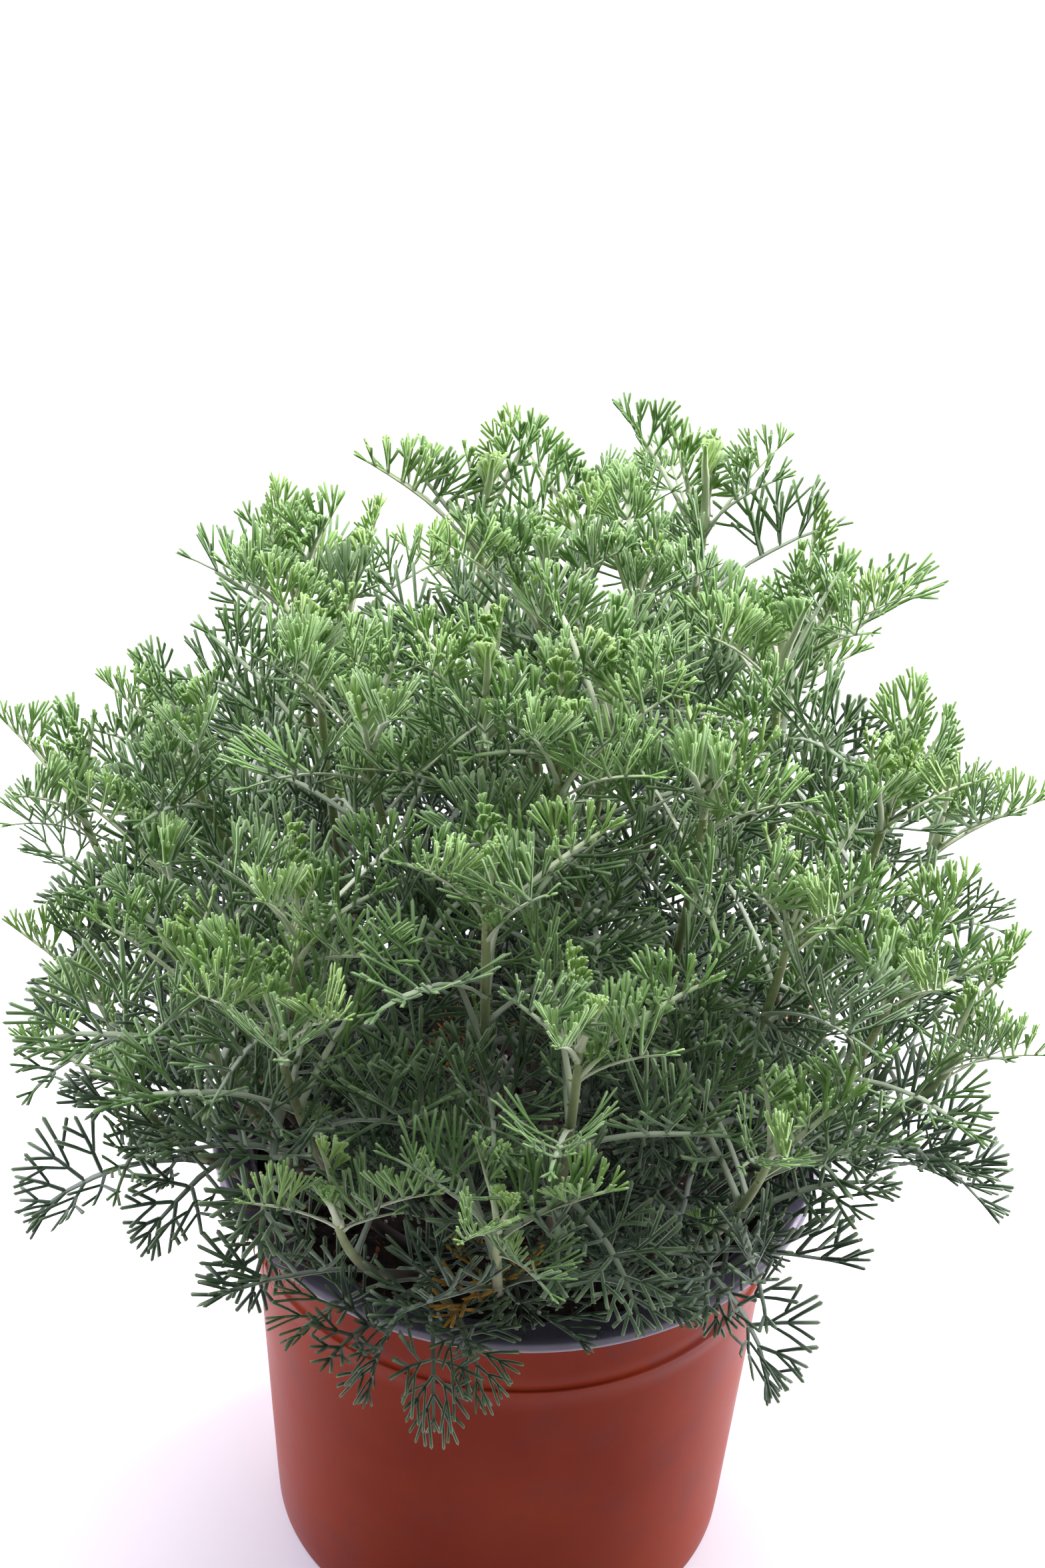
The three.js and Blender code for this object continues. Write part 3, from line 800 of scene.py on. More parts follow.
def make_form(name, seed, kind):
    """A leaf form as a mesh object: a channelled petiole that goes on as the rib, and its segments."""
    rng = np.random.default_rng(seed)
    form = Form()
    widths = [max(kind.petiole_half_width * share, kind.lobe_half_width * 0.9) for share in RIB_WIDTHS]
    widths[0] = widths[-1] = 0
    wave = [RIB_WAVE * math.sin(5 * x + seed) if x > 0 else 0 for x in RIB_STEPS]
    path = [(x, w, 0) for x, w in zip(RIB_STEPS, wave)]
    form.tube(path, widths, [w * RIB_HEIGHT for w in widths], RIB_PARTS, CHANNEL_SECTION)
    steeper = RISES[(seed - kind.first_form) % len(RISES)]
    for at, reach, angle, rise, forks in kind.segments:
        for side in (-1, 1):
            base = np.array([at + rng.uniform(-0.02, 0.02), 0, 0])
            grow_segment(form, rng, kind, base, side, reach, angle, rise * steeper, forks)
    for side in (-1, 1):
        spread = math.radians(kind.lobe_spread + rng.uniform(-6, 6))
        way = unit(np.array([math.cos(spread), side * math.sin(spread), 0.2]))
        form.lobe(np.array([END_FORK, 0, 0]), way, rng.uniform(0.2, 0.25), kind.lobe_half_width, 0.5)
    for side in (-1, 1):
        way = unit(np.array([0.05, side * 0.9, 0.5]))
        stipule = kind.petiole_half_width * 2.6
        form.lobe(np.array([STIPULE_PLACE, 0, 0]), way, stipule, kind.lobe_half_width, 0)
    return bpy.data.objects.new(name, form.mesh(name, "part"))


# The kinds of leaf. Lengths are shares of the blade's. A segment gives its place on the rib, its
# reach, angle and rise in degrees, and the places of its side lobes with whether they are two.
CLENCHED = SimpleNamespace(
    first_form=0, shortest_lobe=0.16, twin_from=0.24, lobe_half_width=0.033, lobe_spread=13,
    petiole_half_width=0.075, gather=0.08,
    segments=(
        (0.02, 0.56, 22, 26, ((0.4, True), (0.7, True))),
        (0.25, 0.52, 17, 24, ((0.4, True), (0.7, True))),
        (0.48, 0.42, 12, 18, ((0.45, True),)),
    ),
)
HALF_OPEN = SimpleNamespace(
    first_form=4, shortest_lobe=0.18, twin_from=0.44, lobe_half_width=0.0225, lobe_spread=17,
    petiole_half_width=0.038, gather=0.14,
    segments=(
        (0.0, 0.62, 52, 40, ((0.28, True), (0.55, True))),
        (0.18, 0.58, 38, 38, ((0.28, True), (0.55, True))),
        (0.4, 0.48, 26, 32, ((0.34, True), (0.62, False))),
        (0.62, 0.36, 18, 22, ((0.4, False),)),
    ),
)
OPEN = SimpleNamespace(
    first_form=8, shortest_lobe=0.2, twin_from=0.5, lobe_half_width=0.019, lobe_spread=25,
    petiole_half_width=0.03, gather=0.14,
    segments=(
        (0.0, 0.72, 80, 34, ((0.26, True), (0.54, True))),
        (0.19, 0.66, 52, 38, ((0.28, True), (0.56, True))),
        (0.43, 0.54, 32, 30, ((0.34, True), (0.62, False))),
    ),
)
OLD = SimpleNamespace(
    first_form=12, shortest_lobe=0.18, twin_from=0.44, lobe_half_width=0.0185, lobe_spread=31,
    petiole_half_width=0.03, gather=0.06,
    segments=(
        (0.0, 0.6, 82, 20, ((0.34, True), (0.62, False))),
        (0.2, 0.62, 60, 22, ((0.3, True), (0.56, True))),
        (0.42, 0.52, 46, 18, ((0.34, True), (0.62, False))),
        (0.63, 0.38, 34, 12, ((0.4, True),)),
    ),
)
FORMS_OF_A_KIND = 4


def make_forms():
    """The forms of each kind of leaf, in one collection."""
    forms = bpy.data.collections.new("leaf_forms")
    for kind in (CLENCHED, HALF_OPEN, OPEN, OLD):
        for number in range(kind.first_form, kind.first_form + FORMS_OF_A_KIND):
            forms.objects.link(make_form(f"form_{number:02d}", number, kind))
    return forms


# Objects and node trees
def add_object(name, data):
    ob = bpy.data.objects.new(name, data)
    bpy.context.scene.collection.objects.link(ob)
    return ob


def keep_result(ob):
    """Puts what the object's modifiers make in the place of its mesh, and removes them."""
    depsgraph = bpy.context.evaluated_depsgraph_get()
    depsgraph.update()
    made = bpy.data.meshes.new_from_object(
        ob.evaluated_get(depsgraph), preserve_all_data_layers=True, depsgraph=depsgraph
    )
    ob.modifiers.clear()
    ob.data = made
    made.name = ob.name


def discard(collection):
    for ob in list(collection.objects):
        bpy.data.objects.remove(ob)
    bpy.data.collections.remove(collection)


def node(tree, kind, inputs=None, stops=(), **settings):
    """Adds a node with its settings. Inputs are nodes or sockets to link or values to set, and
    stops are the places and colours of a ramp."""
    made = tree.nodes.new(kind)
    for name, value in settings.items():
        setattr(made, name, value)
    for key, value in (inputs or {}).items():
        if isinstance(value, bpy.types.Node):
            value = value.outputs[0]
        if isinstance(value, bpy.types.NodeSocket):
            tree.links.new(value, made.inputs[key])
        else:
            made.inputs[key].default_value = value
    for i, (place, colour) in enumerate(stops):
        elements = made.color_ramp.elements
        element = elements[i] if i < 2 else elements.new(place)
        element.position = place
        element.color = linear(colour)
    return made


def geometry_tree(name, sockets):
    """A tree with a geometry in and out and the named inputs given as {name: socket type}, and the
    sockets inside it that carry what comes in."""
    tree = bpy.data.node_groups.new(name, "GeometryNodeTree")
    tree.interface.new_socket("Geometry", in_out="INPUT", socket_type="NodeSocketGeometry")
    for label, kind in sockets.items():
        tree.interface.new_socket(label, in_out="INPUT", socket_type=kind)
    tree.interface.new_socket("Geometry", in_out="OUTPUT", socket_type="NodeSocketGeometry")
    return tree, node(tree, "NodeGroupInput").outputs


def grown_mesh(name, source, tree, values):
    """Runs a tree on a mesh with these inputs and gives the result back as a plain mesh object."""
    ob = add_object(name, source)
    modifier = ob.modifiers.new("grow", "NODES")
    modifier.node_group = tree
    for item in tree.interface.items_tree:
        if item.in_out == "INPUT" and item.name in values:
            modifier[item.identifier] = values[item.name]
    keep_result(ob)
    drop_empty_slot(ob.data)
    return ob


def drop_empty_slot(mesh):
    """Set Material leaves an unused empty slot in front of its own."""
    if mesh.materials[0] is None:
        slots = np.zeros(len(mesh.polygons), np.int32)
        mesh.polygons.foreach_get("material_index", slots)
        mesh.materials.pop(index=0)
        mesh.polygons.foreach_set("material_index", slots - 1)


# What each leaf's point tells the foliage tree, and the radius that each point of a stem tells it
LEAF_FACTS = {
    "root": "FLOAT_VECTOR", "azimuth": "FLOAT", "pitch": "FLOAT", "droop": "FLOAT", "roll": "FLOAT",
    "cup": "FLOAT", "petiole": "FLOAT", "blade": "FLOAT", "form": "INT", "radius": "FLOAT",
}


def foliage_tree():
    """Puts a leaf form on every point, bends it as the point says, and sweeps the stems as tubes."""
    tree, given = geometry_tree("grow_foliage", {
        "Leaf forms": "NodeSocketCollection",
        "Stem paths": "NodeSocketObject",
        "Stem sides": "NodeSocketInt",
        "Foliage": "NodeSocketMaterial",
        "Bark": "NodeSocketMaterial",
    })
    leaf = {
        fact: node(tree, "GeometryNodeInputNamedAttribute", {"Name": "grow_" + fact}, data_type=kind)
        for fact, kind in LEAF_FACTS.items()
    }

    # A form on each point, as wide as its blade makes it, with its petiole and blade still one long
    forms = node(tree, "GeometryNodeCollectionInfo", {
        "Collection": given["Leaf forms"], "Separate Children": True, "Reset Children": True,
    })
    scale = node(tree, "ShaderNodeCombineXYZ", {"X": 1.0, "Y": leaf["blade"], "Z": leaf["blade"]})
    leaves = node(tree, "GeometryNodeInstanceOnPoints", {
        "Points": given["Geometry"], "Instance": forms, "Pick Instance": True,
        "Instance Index": leaf["form"], "Scale": scale,
    })
    leaves = node(tree, "GeometryNodeRealizeInstances", {"Geometry": leaves})

    # The way along the leaf, s, and the leaf's pitch there, which falls evenly by its curl
    place = node(tree, "GeometryNodeInputPosition")
    local = node(tree, "ShaderNodeVectorMath", {0: place, 1: leaf["root"]}, operation="SUBTRACT")
    local = node(tree, "ShaderNodeSeparateXYZ", {0: local}).outputs
    on_petiole = node(tree, "ShaderNodeMath", {0: local["X"], 1: 0.0}, operation="MINIMUM")
    on_petiole = node(tree, "ShaderNodeMath", {
        0: on_petiole, 1: leaf["petiole"], 2: leaf["petiole"],
    }, operation="MULTIPLY_ADD")
    on_blade = node(tree, "ShaderNodeMath", {0: local["X"], 1: 0.0}, operation="MAXIMUM")
    s = node(tree, "ShaderNodeMath", {
        0: on_blade, 1: leaf["blade"], 2: on_petiole,
    }, operation="MULTIPLY_ADD")
    length = node(tree, "ShaderNodeMath", {0: leaf["blade"], 1: leaf["petiole"]}, operation="ADD")
    curl = node(tree, "ShaderNodeMath", {0: leaf["droop"], 1: length}, operation="DIVIDE")
    fallen = node(tree, "ShaderNodeMath", {0: curl, 1: s}, operation="MULTIPLY")
    pitch = node(tree, "ShaderNodeMath", {0: leaf["pitch"], 1: fallen}, operation="SUBTRACT")

    # The midline there: a circle's arc from the root
    sine = node(tree, "ShaderNodeMath", {0: leaf["pitch"]}, operation="SINE")
    sine_here = node(tree, "ShaderNodeMath", {0: pitch}, operation="SINE")
    cosine = node(tree, "ShaderNodeMath", {0: leaf["pitch"]}, operation="COSINE")
    cosine_here = node(tree, "ShaderNodeMath", {0: pitch}, operation="COSINE")
    out = node(tree, "ShaderNodeMath", {0: sine, 1: sine_here}, operation="SUBTRACT")
    out = node(tree, "ShaderNodeMath", {0: out, 1: curl}, operation="DIVIDE")
    up = node(tree, "ShaderNodeMath", {0: cosine_here, 1: cosine}, operation="SUBTRACT")
    up = node(tree, "ShaderNodeMath", {0: up, 1: curl}, operation="DIVIDE")
    midline = node(tree, "ShaderNodeCombineXYZ", {"X": out, "Y": 0.0, "Z": up})

    # What stands off the midline is cupped, rolled and pitched with it, and the whole is turned
    cupped = node(tree, "ShaderNodeMath", {0: local["Y"], 1: local["Y"]}, operation="MULTIPLY")
    cupped = node(tree, "ShaderNodeMath", {
        0: cupped, 1: leaf["cup"], 2: local["Z"],
    }, operation="MULTIPLY_ADD")
    off = node(tree, "ShaderNodeCombineXYZ", {"X": 0.0, "Y": local["Y"], "Z": cupped})
    off = node(tree, "ShaderNodeVectorRotate", {
        "Vector": off, "Angle": leaf["roll"],
    }, rotation_type="X_AXIS")
    downward = node(tree, "ShaderNodeMath", {0: pitch, 1: -1.0}, operation="MULTIPLY")
    off = node(tree, "ShaderNodeVectorRotate", {"Vector": off, "Angle": downward}, rotation_type="Y_AXIS")
    bent = node(tree, "ShaderNodeVectorMath", {0: off, 1: midline}, operation="ADD")
    turned = node(tree, "ShaderNodeVectorRotate", {
        "Vector": bent, "Angle": leaf["azimuth"],
    }, rotation_type="Z_AXIS")
    final = node(tree, "ShaderNodeVectorMath", {0: turned, 1: leaf["root"]}, operation="ADD")
    leaves = node(tree, "GeometryNodeSetPosition", {"Geometry": leaves, "Position": final})
    leaves = node(tree, "GeometryNodeSetMaterial", {"Geometry": leaves, "Material": given["Foliage"]})

    # The stems
    paths = node(tree, "GeometryNodeObjectInfo", {"Object": given["Stem paths"]}).outputs["Geometry"]
    curves = node(tree, "GeometryNodeMeshToCurve", {"Mesh": paths})
    profile = node(tree, "GeometryNodeCurvePrimitiveCircle", {
        "Resolution": given["Stem sides"], "Radius": 1.0,
    })
    sweep = node(tree, "GeometryNodeCurveToMesh", {
        "Curve": curves, "Profile Curve": profile, "Scale": leaf["radius"], "Fill Caps": True,
    })
    stems = node(tree, "GeometryNodeSetMaterial", {"Geometry": sweep, "Material": given["Bark"]})

    join = node(tree, "GeometryNodeJoinGeometry")
    tree.links.new(stems.outputs[0], join.inputs[0])
    tree.links.new(leaves.outputs[0], join.inputs[0])
    smooth = node(tree, "GeometryNodeSetShadeSmooth", {"Geometry": join})
    bare = node(tree, "GeometryNodeRemoveAttribute", {
        "Geometry": smooth, "Name": "grow_*",
    }, pattern_mode="WILDCARD")
    node(tree, "NodeGroupOutput", {"Geometry": bare})
    return tree


def points_mesh(name, points, edges, attributes):
    """A mesh of points and edges in metres, with float, int or vector attributes on its points."""
    mesh = bpy.data.meshes.new(name)
    mesh.from_pydata([tuple(np.asarray(p) * MM) for p in points], edges, [])
    for label, values in attributes.items():
        values = np.asarray(values)
        if values.ndim == 2:
            mesh.attributes.new(label, "FLOAT_VECTOR", "POINT").data.foreach_set("vector", values.ravel())
        elif values.dtype.kind == "i":
            mesh.attributes.new(label, "INT", "POINT").data.foreach_set("value", values)
        else:
            mesh.attributes.new(label, "FLOAT", "POINT").data.foreach_set("value", values)
    return mesh


FORM_SEED = 500

# The ages with painted shade at which one kind of leaf follows another
CLENCHED_UNTIL = 0.1
HALF_OPEN_UNTIL = 0.25
OPEN_UNTIL = 0.75


def form_of(leaf, rng):
    kind = OLD
    if leaf.look < CLENCHED_UNTIL:
        kind = CLENCHED
    elif leaf.look < HALF_OPEN_UNTIL:
        kind = HALF_OPEN
    elif leaf.look < OPEN_UNTIL:
        kind = OPEN
    return kind.first_form + int(rng.integers(FORMS_OF_A_KIND))


def leaf_points_mesh(stem):
    rng = np.random.default_rng(FORM_SEED + stem.index)
    leaves = stem.leaves
    return points_mesh(stem.name + "_leaves", [leaf.root for leaf in leaves], [], {
        "grow_root": [leaf.root * MM for leaf in leaves],
        "grow_azimuth": [leaf.azimuth for leaf in leaves],
        "grow_pitch": [leaf.pitch for leaf in leaves],
        "grow_droop": [leaf.droop for leaf in leaves],
        "grow_roll": [leaf.roll for leaf in leaves],
        "grow_cup": [leaf.cup / MM for leaf in leaves],
        "grow_petiole": [leaf.petiole * MM for leaf in leaves],
        "grow_blade": [leaf.blade * MM for leaf in leaves],
        "grow_form": np.array([form_of(leaf, rng) for leaf in leaves], dtype=np.int32),
        # The colour's age attribute is the leaf's age with the painted shade of low leaves added
        "age": [leaf.look for leaf in leaves],
        "tint": rng.random(len(leaves)),
        "withered": [leaf.withered for leaf in leaves],
    })


# What the cut end's point says it has grown, which turns its colour to that of pith
CUT_END_GROWN = 2

MAIN_PATH_STEPS = 18
SIDE_PATH_STEPS = 10
STEM_SIDES = 8


def stem_paths_object(stem):
    """The shoots as polylines from deep in the soil to their tips, thinner as they rise."""
    points, edges, radius, grown = [], [], [], []
    for shoot in stem.shoots:
        steps = MAIN_PATH_STEPS if shoot.main else SIDE_PATH_STEPS
        line = [shoot.curve(i / steps) for i in range(steps + 1)]
        low, high = (FINE_STEM_RADIUS if shoot.main else SIDE_SHOOT_RADIUS), FINE_TIP_RADIUS
        if stem.cut:
            low = high = CUT_STEM_RADIUS
        radii = [mix(low, high, i / steps) for i in range(steps + 1)]
        if not stem.cut:
            radii[-1] *= STEM_TIP_TAPER
        if shoot.main:
            line.insert(0, np.array([*stem.foot[:2], SOIL_HEIGHT - STEM_HOLE_DEPTH + STEM_END_GAP]))
            radii.insert(0, low)
        start = len(points)
        points += line
        radius += radii
        grown += list(np.linspace(0 if shoot.main else SIDE_SHOOT_START, 1, len(line)))
        if stem.cut:
            grown[-1] = CUT_END_GROWN
        edges += [(start + i, start + i + 1) for i in range(len(line) - 1)]
    mesh = points_mesh(stem.name + "_paths", points, edges, {
        "grow_radius": np.array(radius) * MM, "age": 1 - np.array(grown), "tint": np.full(len(points), 0.5),
    })
    return bpy.data.objects.new(stem.name + "_paths", mesh)


# Materials
def linear(hex_colour):
    """An sRGB hex colour as linear red, green, blue and alpha."""
    parts = [int(hex_colour[i:i + 2], 16) / 255 for i in (1, 3, 5)]
    return (*(c / 12.92 if c <= 0.04045 else ((c + 0.055) / 1.055) ** 2.4 for c in parts), 1.0)


# The colour sockets of a Mix node come after those for its other kinds of value
COLOUR_A, COLOUR_B, MIXED_COLOUR = 6, 7, 2

# How much a leaf's own tint and the mottles shift the age that its colour follows
TINT_SHIFT = 0.32
LEAF_MOTTLE_SHIFT = 0.3
STEM_MOTTLE_SHIFT = 0.5

# The real sizes of the patterns in the finishes, in millimetres
LEAF_MOTTLE = 6
STEM_MOTTLE = 4
WALL_CLOUD = 30
DUST_SMUDGE = 12
GREY_CLOUD = 12
HANDLING_STREAK = 5
PEAT_CRUMB = 1.5


def new_material(name, **surface):
    """A material with a Principled shader, whose plain settings go straight on its sockets."""
    material = bpy.data.materials.new(name)
    material.use_nodes = True
    tree = material.node_tree
    shader = tree.nodes["Principled BSDF"]
    for label, value in surface.items():
        shader.inputs[label.replace("_", " ")].default_value = value
    return material, tree, shader


def leaf_material():
    """Woolly wormwood leaf: living green under fine grey hairs, yellow-green while young, and duller and
    bluer with age and with painted shade low in the bush. It gives the eye a soft matt green with paler lobe
    tips."""
    material, tree, shader = new_material(
        "woolly_wormwood_leaf", Roughness=0.65, Specular_IOR_Level=0.35, Sheen_Weight=0.5,
        Sheen_Roughness=0.35,
    )
    shader.inputs["Sheen Tint"].default_value = linear("#dfeadb")
    # Its age carries the painted shade of leaves low in the bush as well as their age
    age = node(tree, "ShaderNodeAttribute", attribute_name="age").outputs["Fac"]
    tint = node(tree, "ShaderNodeAttribute", attribute_name="tint").outputs["Fac"]
    part = node(tree, "ShaderNodeAttribute", attribute_name="part").outputs["Fac"]
    place = node(tree, "ShaderNodeTexCoord").outputs["Object"]
    mottle = node(tree, "ShaderNodeTexNoise", {
        "Vector": place, "Scale": 1 / (LEAF_MOTTLE * MM), "Detail": 2.0,
    }).outputs["Fac"]
    shift = node(tree, "ShaderNodeMath", {
        0: tint, 1: TINT_SHIFT, 2: -TINT_SHIFT / 2,
    }, operation="MULTIPLY_ADD")
    age = node(tree, "ShaderNodeMath", {0: age, 1: shift}, operation="ADD")
    age = node(tree, "ShaderNodeMath", {
        0: mottle, 1: LEAF_MOTTLE_SHIFT, 2: age,
    }, operation="MULTIPLY_ADD")
    green = node(tree, "ShaderNodeValToRGB", {"Fac": age}, stops=(
        (0.1, "#8cb05a"), (0.3, "#76a04f"), (0.55, "#5c8243"), (0.8, "#46653b"), (1.0, "#395139"),
    ))
    stalk = node(tree, "ShaderNodeValToRGB", {"Fac": age}, stops=(
        (0.15, "#c9d2af"), (0.6, "#9dab90"), (1.0, "#7b8a78"),
    ))
    on_lobe = node(tree, "ShaderNodeMapRange", {"Value": part, "From Min": -0.1, "From Max": 0.35})
    colour = node(tree, "ShaderNodeMix", {0: on_lobe, COLOUR_A: stalk, COLOUR_B: green}, data_type="RGBA")
    on_tip = node(tree, "ShaderNodeMapRange", {
        "Value": part, "From Min": 0.8, "From Max": 1.0, "To Max": 0.3,
    })
    colour = node(tree, "ShaderNodeMix", {
        0: on_tip, COLOUR_A: colour.outputs[MIXED_COLOUR], COLOUR_B: linear("#9db488"),
    }, data_type="RGBA")
    straw = node(tree, "ShaderNodeValToRGB", {"Fac": mottle}, stops=((0.35, "#7d5a24"), (0.6, "#c79a34")))
    withered = node(tree, "ShaderNodeAttribute", attribute_name="withered").outputs["Fac"]
    colour = node(tree, "ShaderNodeMix", {
        0: withered, COLOUR_A: colour.outputs[MIXED_COLOUR], COLOUR_B: straw,
    }, data_type="RGBA")
    tree.links.new(colour.outputs[MIXED_COLOUR], shader.inputs["Base Color"])
    return material


def stem_material():
    """Young wormwood stem: pale yellow-green with a brown flush low down, downy, and white-green
    pith where it is cut."""
    material, tree, shader = new_material("downy_wormwood_stem", Roughness=0.6, Sheen_Weight=0.2)
    age = node(tree, "ShaderNodeAttribute", attribute_name="age").outputs["Fac"]
    place = node(tree, "ShaderNodeTexCoord").outputs["Object"]
    mottle = node(tree, "ShaderNodeTexNoise", {
        "Vector": place, "Scale": 1 / (STEM_MOTTLE * MM), "Detail": 3.0,
    }).outputs["Fac"]
    age = node(tree, "ShaderNodeMath", {
        0: mottle, 1: STEM_MOTTLE_SHIFT, 2: age,
    }, operation="MULTIPLY_ADD")
    colour = node(tree, "ShaderNodeValToRGB", {"Fac": age}, stops=(
        (0.0, "#e3e6c8"), (0.15, "#98a76d"), (0.55, "#6f7b49"), (0.8, "#5b4f37"), (1.0, "#3f3126"),
    ))
    tree.links.new(colour.outputs[0], shader.inputs["Base Color"])
    return material


# The pot
def arc(centre, radius, start, end, steps):
    """Points round a centre in a profile, in degrees."""
    angles = np.radians(np.linspace(start, end, steps))
    return [(centre[0] + radius * math.cos(a), centre[1] + radius * math.sin(a)) for a in angles]


def lathe_mesh(name, profile, sides):
    """A turned mesh, which is closed where its profile both starts and ends on the axis."""
    points, faces, rings = [], [], []
    for r, z in profile:
        if r < 1e-6:
            rings.append([len(points)] * sides)
            points.append((0, 0, z * MM))
        else:
            rings.append([len(points) + k for k in range(sides)])
            angles = [2 * math.pi * k / sides for k in range(sides)]
            points += [(r * MM * math.cos(a), r * MM * math.sin(a), z * MM) for a in angles]
    for low, high in zip(rings, rings[1:]):
        for k in range(sides):
            m = (k + 1) % sides
            face = list(dict.fromkeys((low[k], low[m], high[m], high[k])))
            faces.append(face)
    mesh = bpy.data.meshes.new(name)
    mesh.from_pydata(points, [], faces)
    return mesh


def pot_profile():
    """Half of the pot's section, from the middle of its underside out, up and in to its inner base."""
    collar_foot = POT_HEIGHT - COLLAR_HEIGHT
    collar_low = outer_wall(collar_foot) + COLLAR_STEP
    rim_foot = POT_HEIGHT - RIM_LIP_HEIGHT
    foot_ring = DRAIN_RING_RADIUS + FOOT_RING_GAP
    profile = [(0, FOOT_RECESS), (foot_ring, FOOT_RECESS), (foot_ring + FOOT_RECESS, 0)]
    profile += arc((outer_wall(0) - FOOT_ROUND, FOOT_ROUND), FOOT_ROUND, -90, 0, 5)
    profile += [(outer_wall(z), z) for z in np.linspace(6, collar_foot - 0.6, 14)]
    profile += arc((collar_low - 0.25, collar_foot + 0.55), BEAD_RADIUS, -80, 70, 7)
    for f in np.linspace(0, 1, 5):
        profile.append((mix(collar_low, COLLAR_RADIUS, f), mix(collar_foot + 1.2, rim_foot - 0.6, f)))
    profile += [(COLLAR_RADIUS + 0.5, rim_foot)]
    profile += arc((RIM_RADIUS - RIM_UNDER_ROUND, rim_foot + RIM_UNDER_ROUND), RIM_UNDER_ROUND, -90, 0, 4)
    profile += arc((RIM_RADIUS - RIM_TOP_ROUND, POT_HEIGHT - 1.75), RIM_TOP_ROUND, 0, 85, 6)
    profile += [(RIM_RADIUS - 3, POT_HEIGHT), (RIM_INNER_RADIUS + 1.2, POT_HEIGHT - 0.08)]
    profile += arc((RIM_INNER_RADIUS + 0.6, POT_HEIGHT - 1.1), RIM_INNER_ROUND, 80, 180, 5)
    profile += [(inner_wall(rim_foot) + 0.6, rim_foot), (inner_wall(rim_foot - 2), rim_foot - 2)]
    profile += [(inner_wall(z), z) for z in np.linspace(SOIL_HEIGHT, BASE_THICKNESS + 2, 8)]
    profile += [(inner_wall(BASE_THICKNESS) - 1.5, BASE_THICKNESS), (0, BASE_THICKNESS)]
    return profile


def terracotta_material():
    """Injection-moulded polypropylene in terracotta brown: satin, with a faint cloudy flow in the
    wall and grey smudges of dust from handling, most of them on the collar."""
    material, tree, shader = new_material(
        "moulded_polypropylene_terracotta", IOR=1.49, Specular_IOR_Level=0.06
    )
    place = node(tree, "ShaderNodeTexCoord").outputs["Object"]
    cloud = node(tree, "ShaderNodeTexNoise", {
        "Vector": place, "Scale": 1 / (WALL_CLOUD * MM), "Detail": 4.0,
    }).outputs["Fac"]
    colour = node(tree, "ShaderNodeValToRGB", {"Fac": cloud}, stops=((0.3, "#76240f"), (0.7, "#832f14")))
    height = node(tree, "ShaderNodeSeparateXYZ", {0: place}).outputs["Z"]
    collar_foot = POT_HEIGHT - COLLAR_HEIGHT
    on_collar = node(tree, "ShaderNodeMapRange", {
        "Value": height, "From Min": (collar_foot - 4) * MM, "From Max": (collar_foot + 4) * MM,
        "To Min": 0.3,
    })
    dust = node(tree, "ShaderNodeTexNoise", {
        "Vector": place, "Scale": 1 / (DUST_SMUDGE * MM), "Detail": 6.0, "Roughness": 0.6,
    }).outputs["Fac"]
    dust = node(tree, "ShaderNodeMapRange", {"Value": dust, "From Min": 0.5, "From Max": 0.7, "To Max": 0.6})
    dust = node(tree, "ShaderNodeMath", {0: dust, 1: on_collar}, operation="MULTIPLY")
    colour = node(tree, "ShaderNodeMix", {
        0: dust, COLOUR_A: colour, COLOUR_B: linear("#4b3439"),
    }, data_type="RGBA")
    tree.links.new(colour.outputs[MIXED_COLOUR], shader.inputs["Base Color"])
    gloss = node(tree, "ShaderNodeMapRange", {
        "Value": cloud, "From Min": 0.3, "From Max": 0.7, "To Min": 0.27, "To Max": 0.4,
    })
    tree.links.new(gloss.outputs[0], shader.inputs["Roughness"])
    return material


def grey_material():
    """The grey inner layer of the same moulding, which shows on the rim and inside: blue-grey, with glossy
    streaks from handling and a painted highlight in paler grey along the round under the rim's lip."""
    material, tree, shader = new_material("moulded_polypropylene_grey", IOR=1.49)
    place = node(tree, "ShaderNodeTexCoord").outputs["Object"]
    cloud = node(tree, "ShaderNodeTexNoise", {
        "Vector": place, "Scale": 1 / (GREY_CLOUD * MM), "Detail": 4.0,
    }).outputs["Fac"]
    colour = node(tree, "ShaderNodeValToRGB", {"Fac": cloud}, stops=((0.3, "#383644"), (0.7, "#4a4857")))
    height = node(tree, "ShaderNodeSeparateXYZ", {0: place}).outputs["Z"]
    rim_foot = POT_HEIGHT - RIM_LIP_HEIGHT
    # A painted highlight: the round under the rim's lip is given a paler grey
    painted_highlight = node(tree, "ShaderNodeMapRange", {
        "Value": height, "From Min": (rim_foot + 1.1) * MM, "From Max": (rim_foot + 0.5) * MM,
    })
    below = node(tree, "ShaderNodeMapRange", {
        "Value": height, "From Min": (rim_foot - 0.3) * MM, "From Max": rim_foot * MM,
    })
    painted_highlight = node(tree, "ShaderNodeMath", {0: painted_highlight, 1: below}, operation="MULTIPLY")
    colour = node(tree, "ShaderNodeMix", {
        0: painted_highlight, COLOUR_A: colour, COLOUR_B: linear("#85838f"),
    }, data_type="RGBA")
    tree.links.new(colour.outputs[MIXED_COLOUR], shader.inputs["Base Color"])
    streaks = node(tree, "ShaderNodeTexNoise", {
        "Vector": place, "Scale": 1 / (HANDLING_STREAK * MM), "Detail": 5.0,
    }).outputs["Fac"]
    gloss = node(tree, "ShaderNodeMapRange", {
        "Value": streaks, "From Min": 0.35, "From Max": 0.65, "To Min": 0.22, "To Max": 0.5,
    })
    tree.links.new(gloss.outputs[0], shader.inputs["Roughness"])
    return material


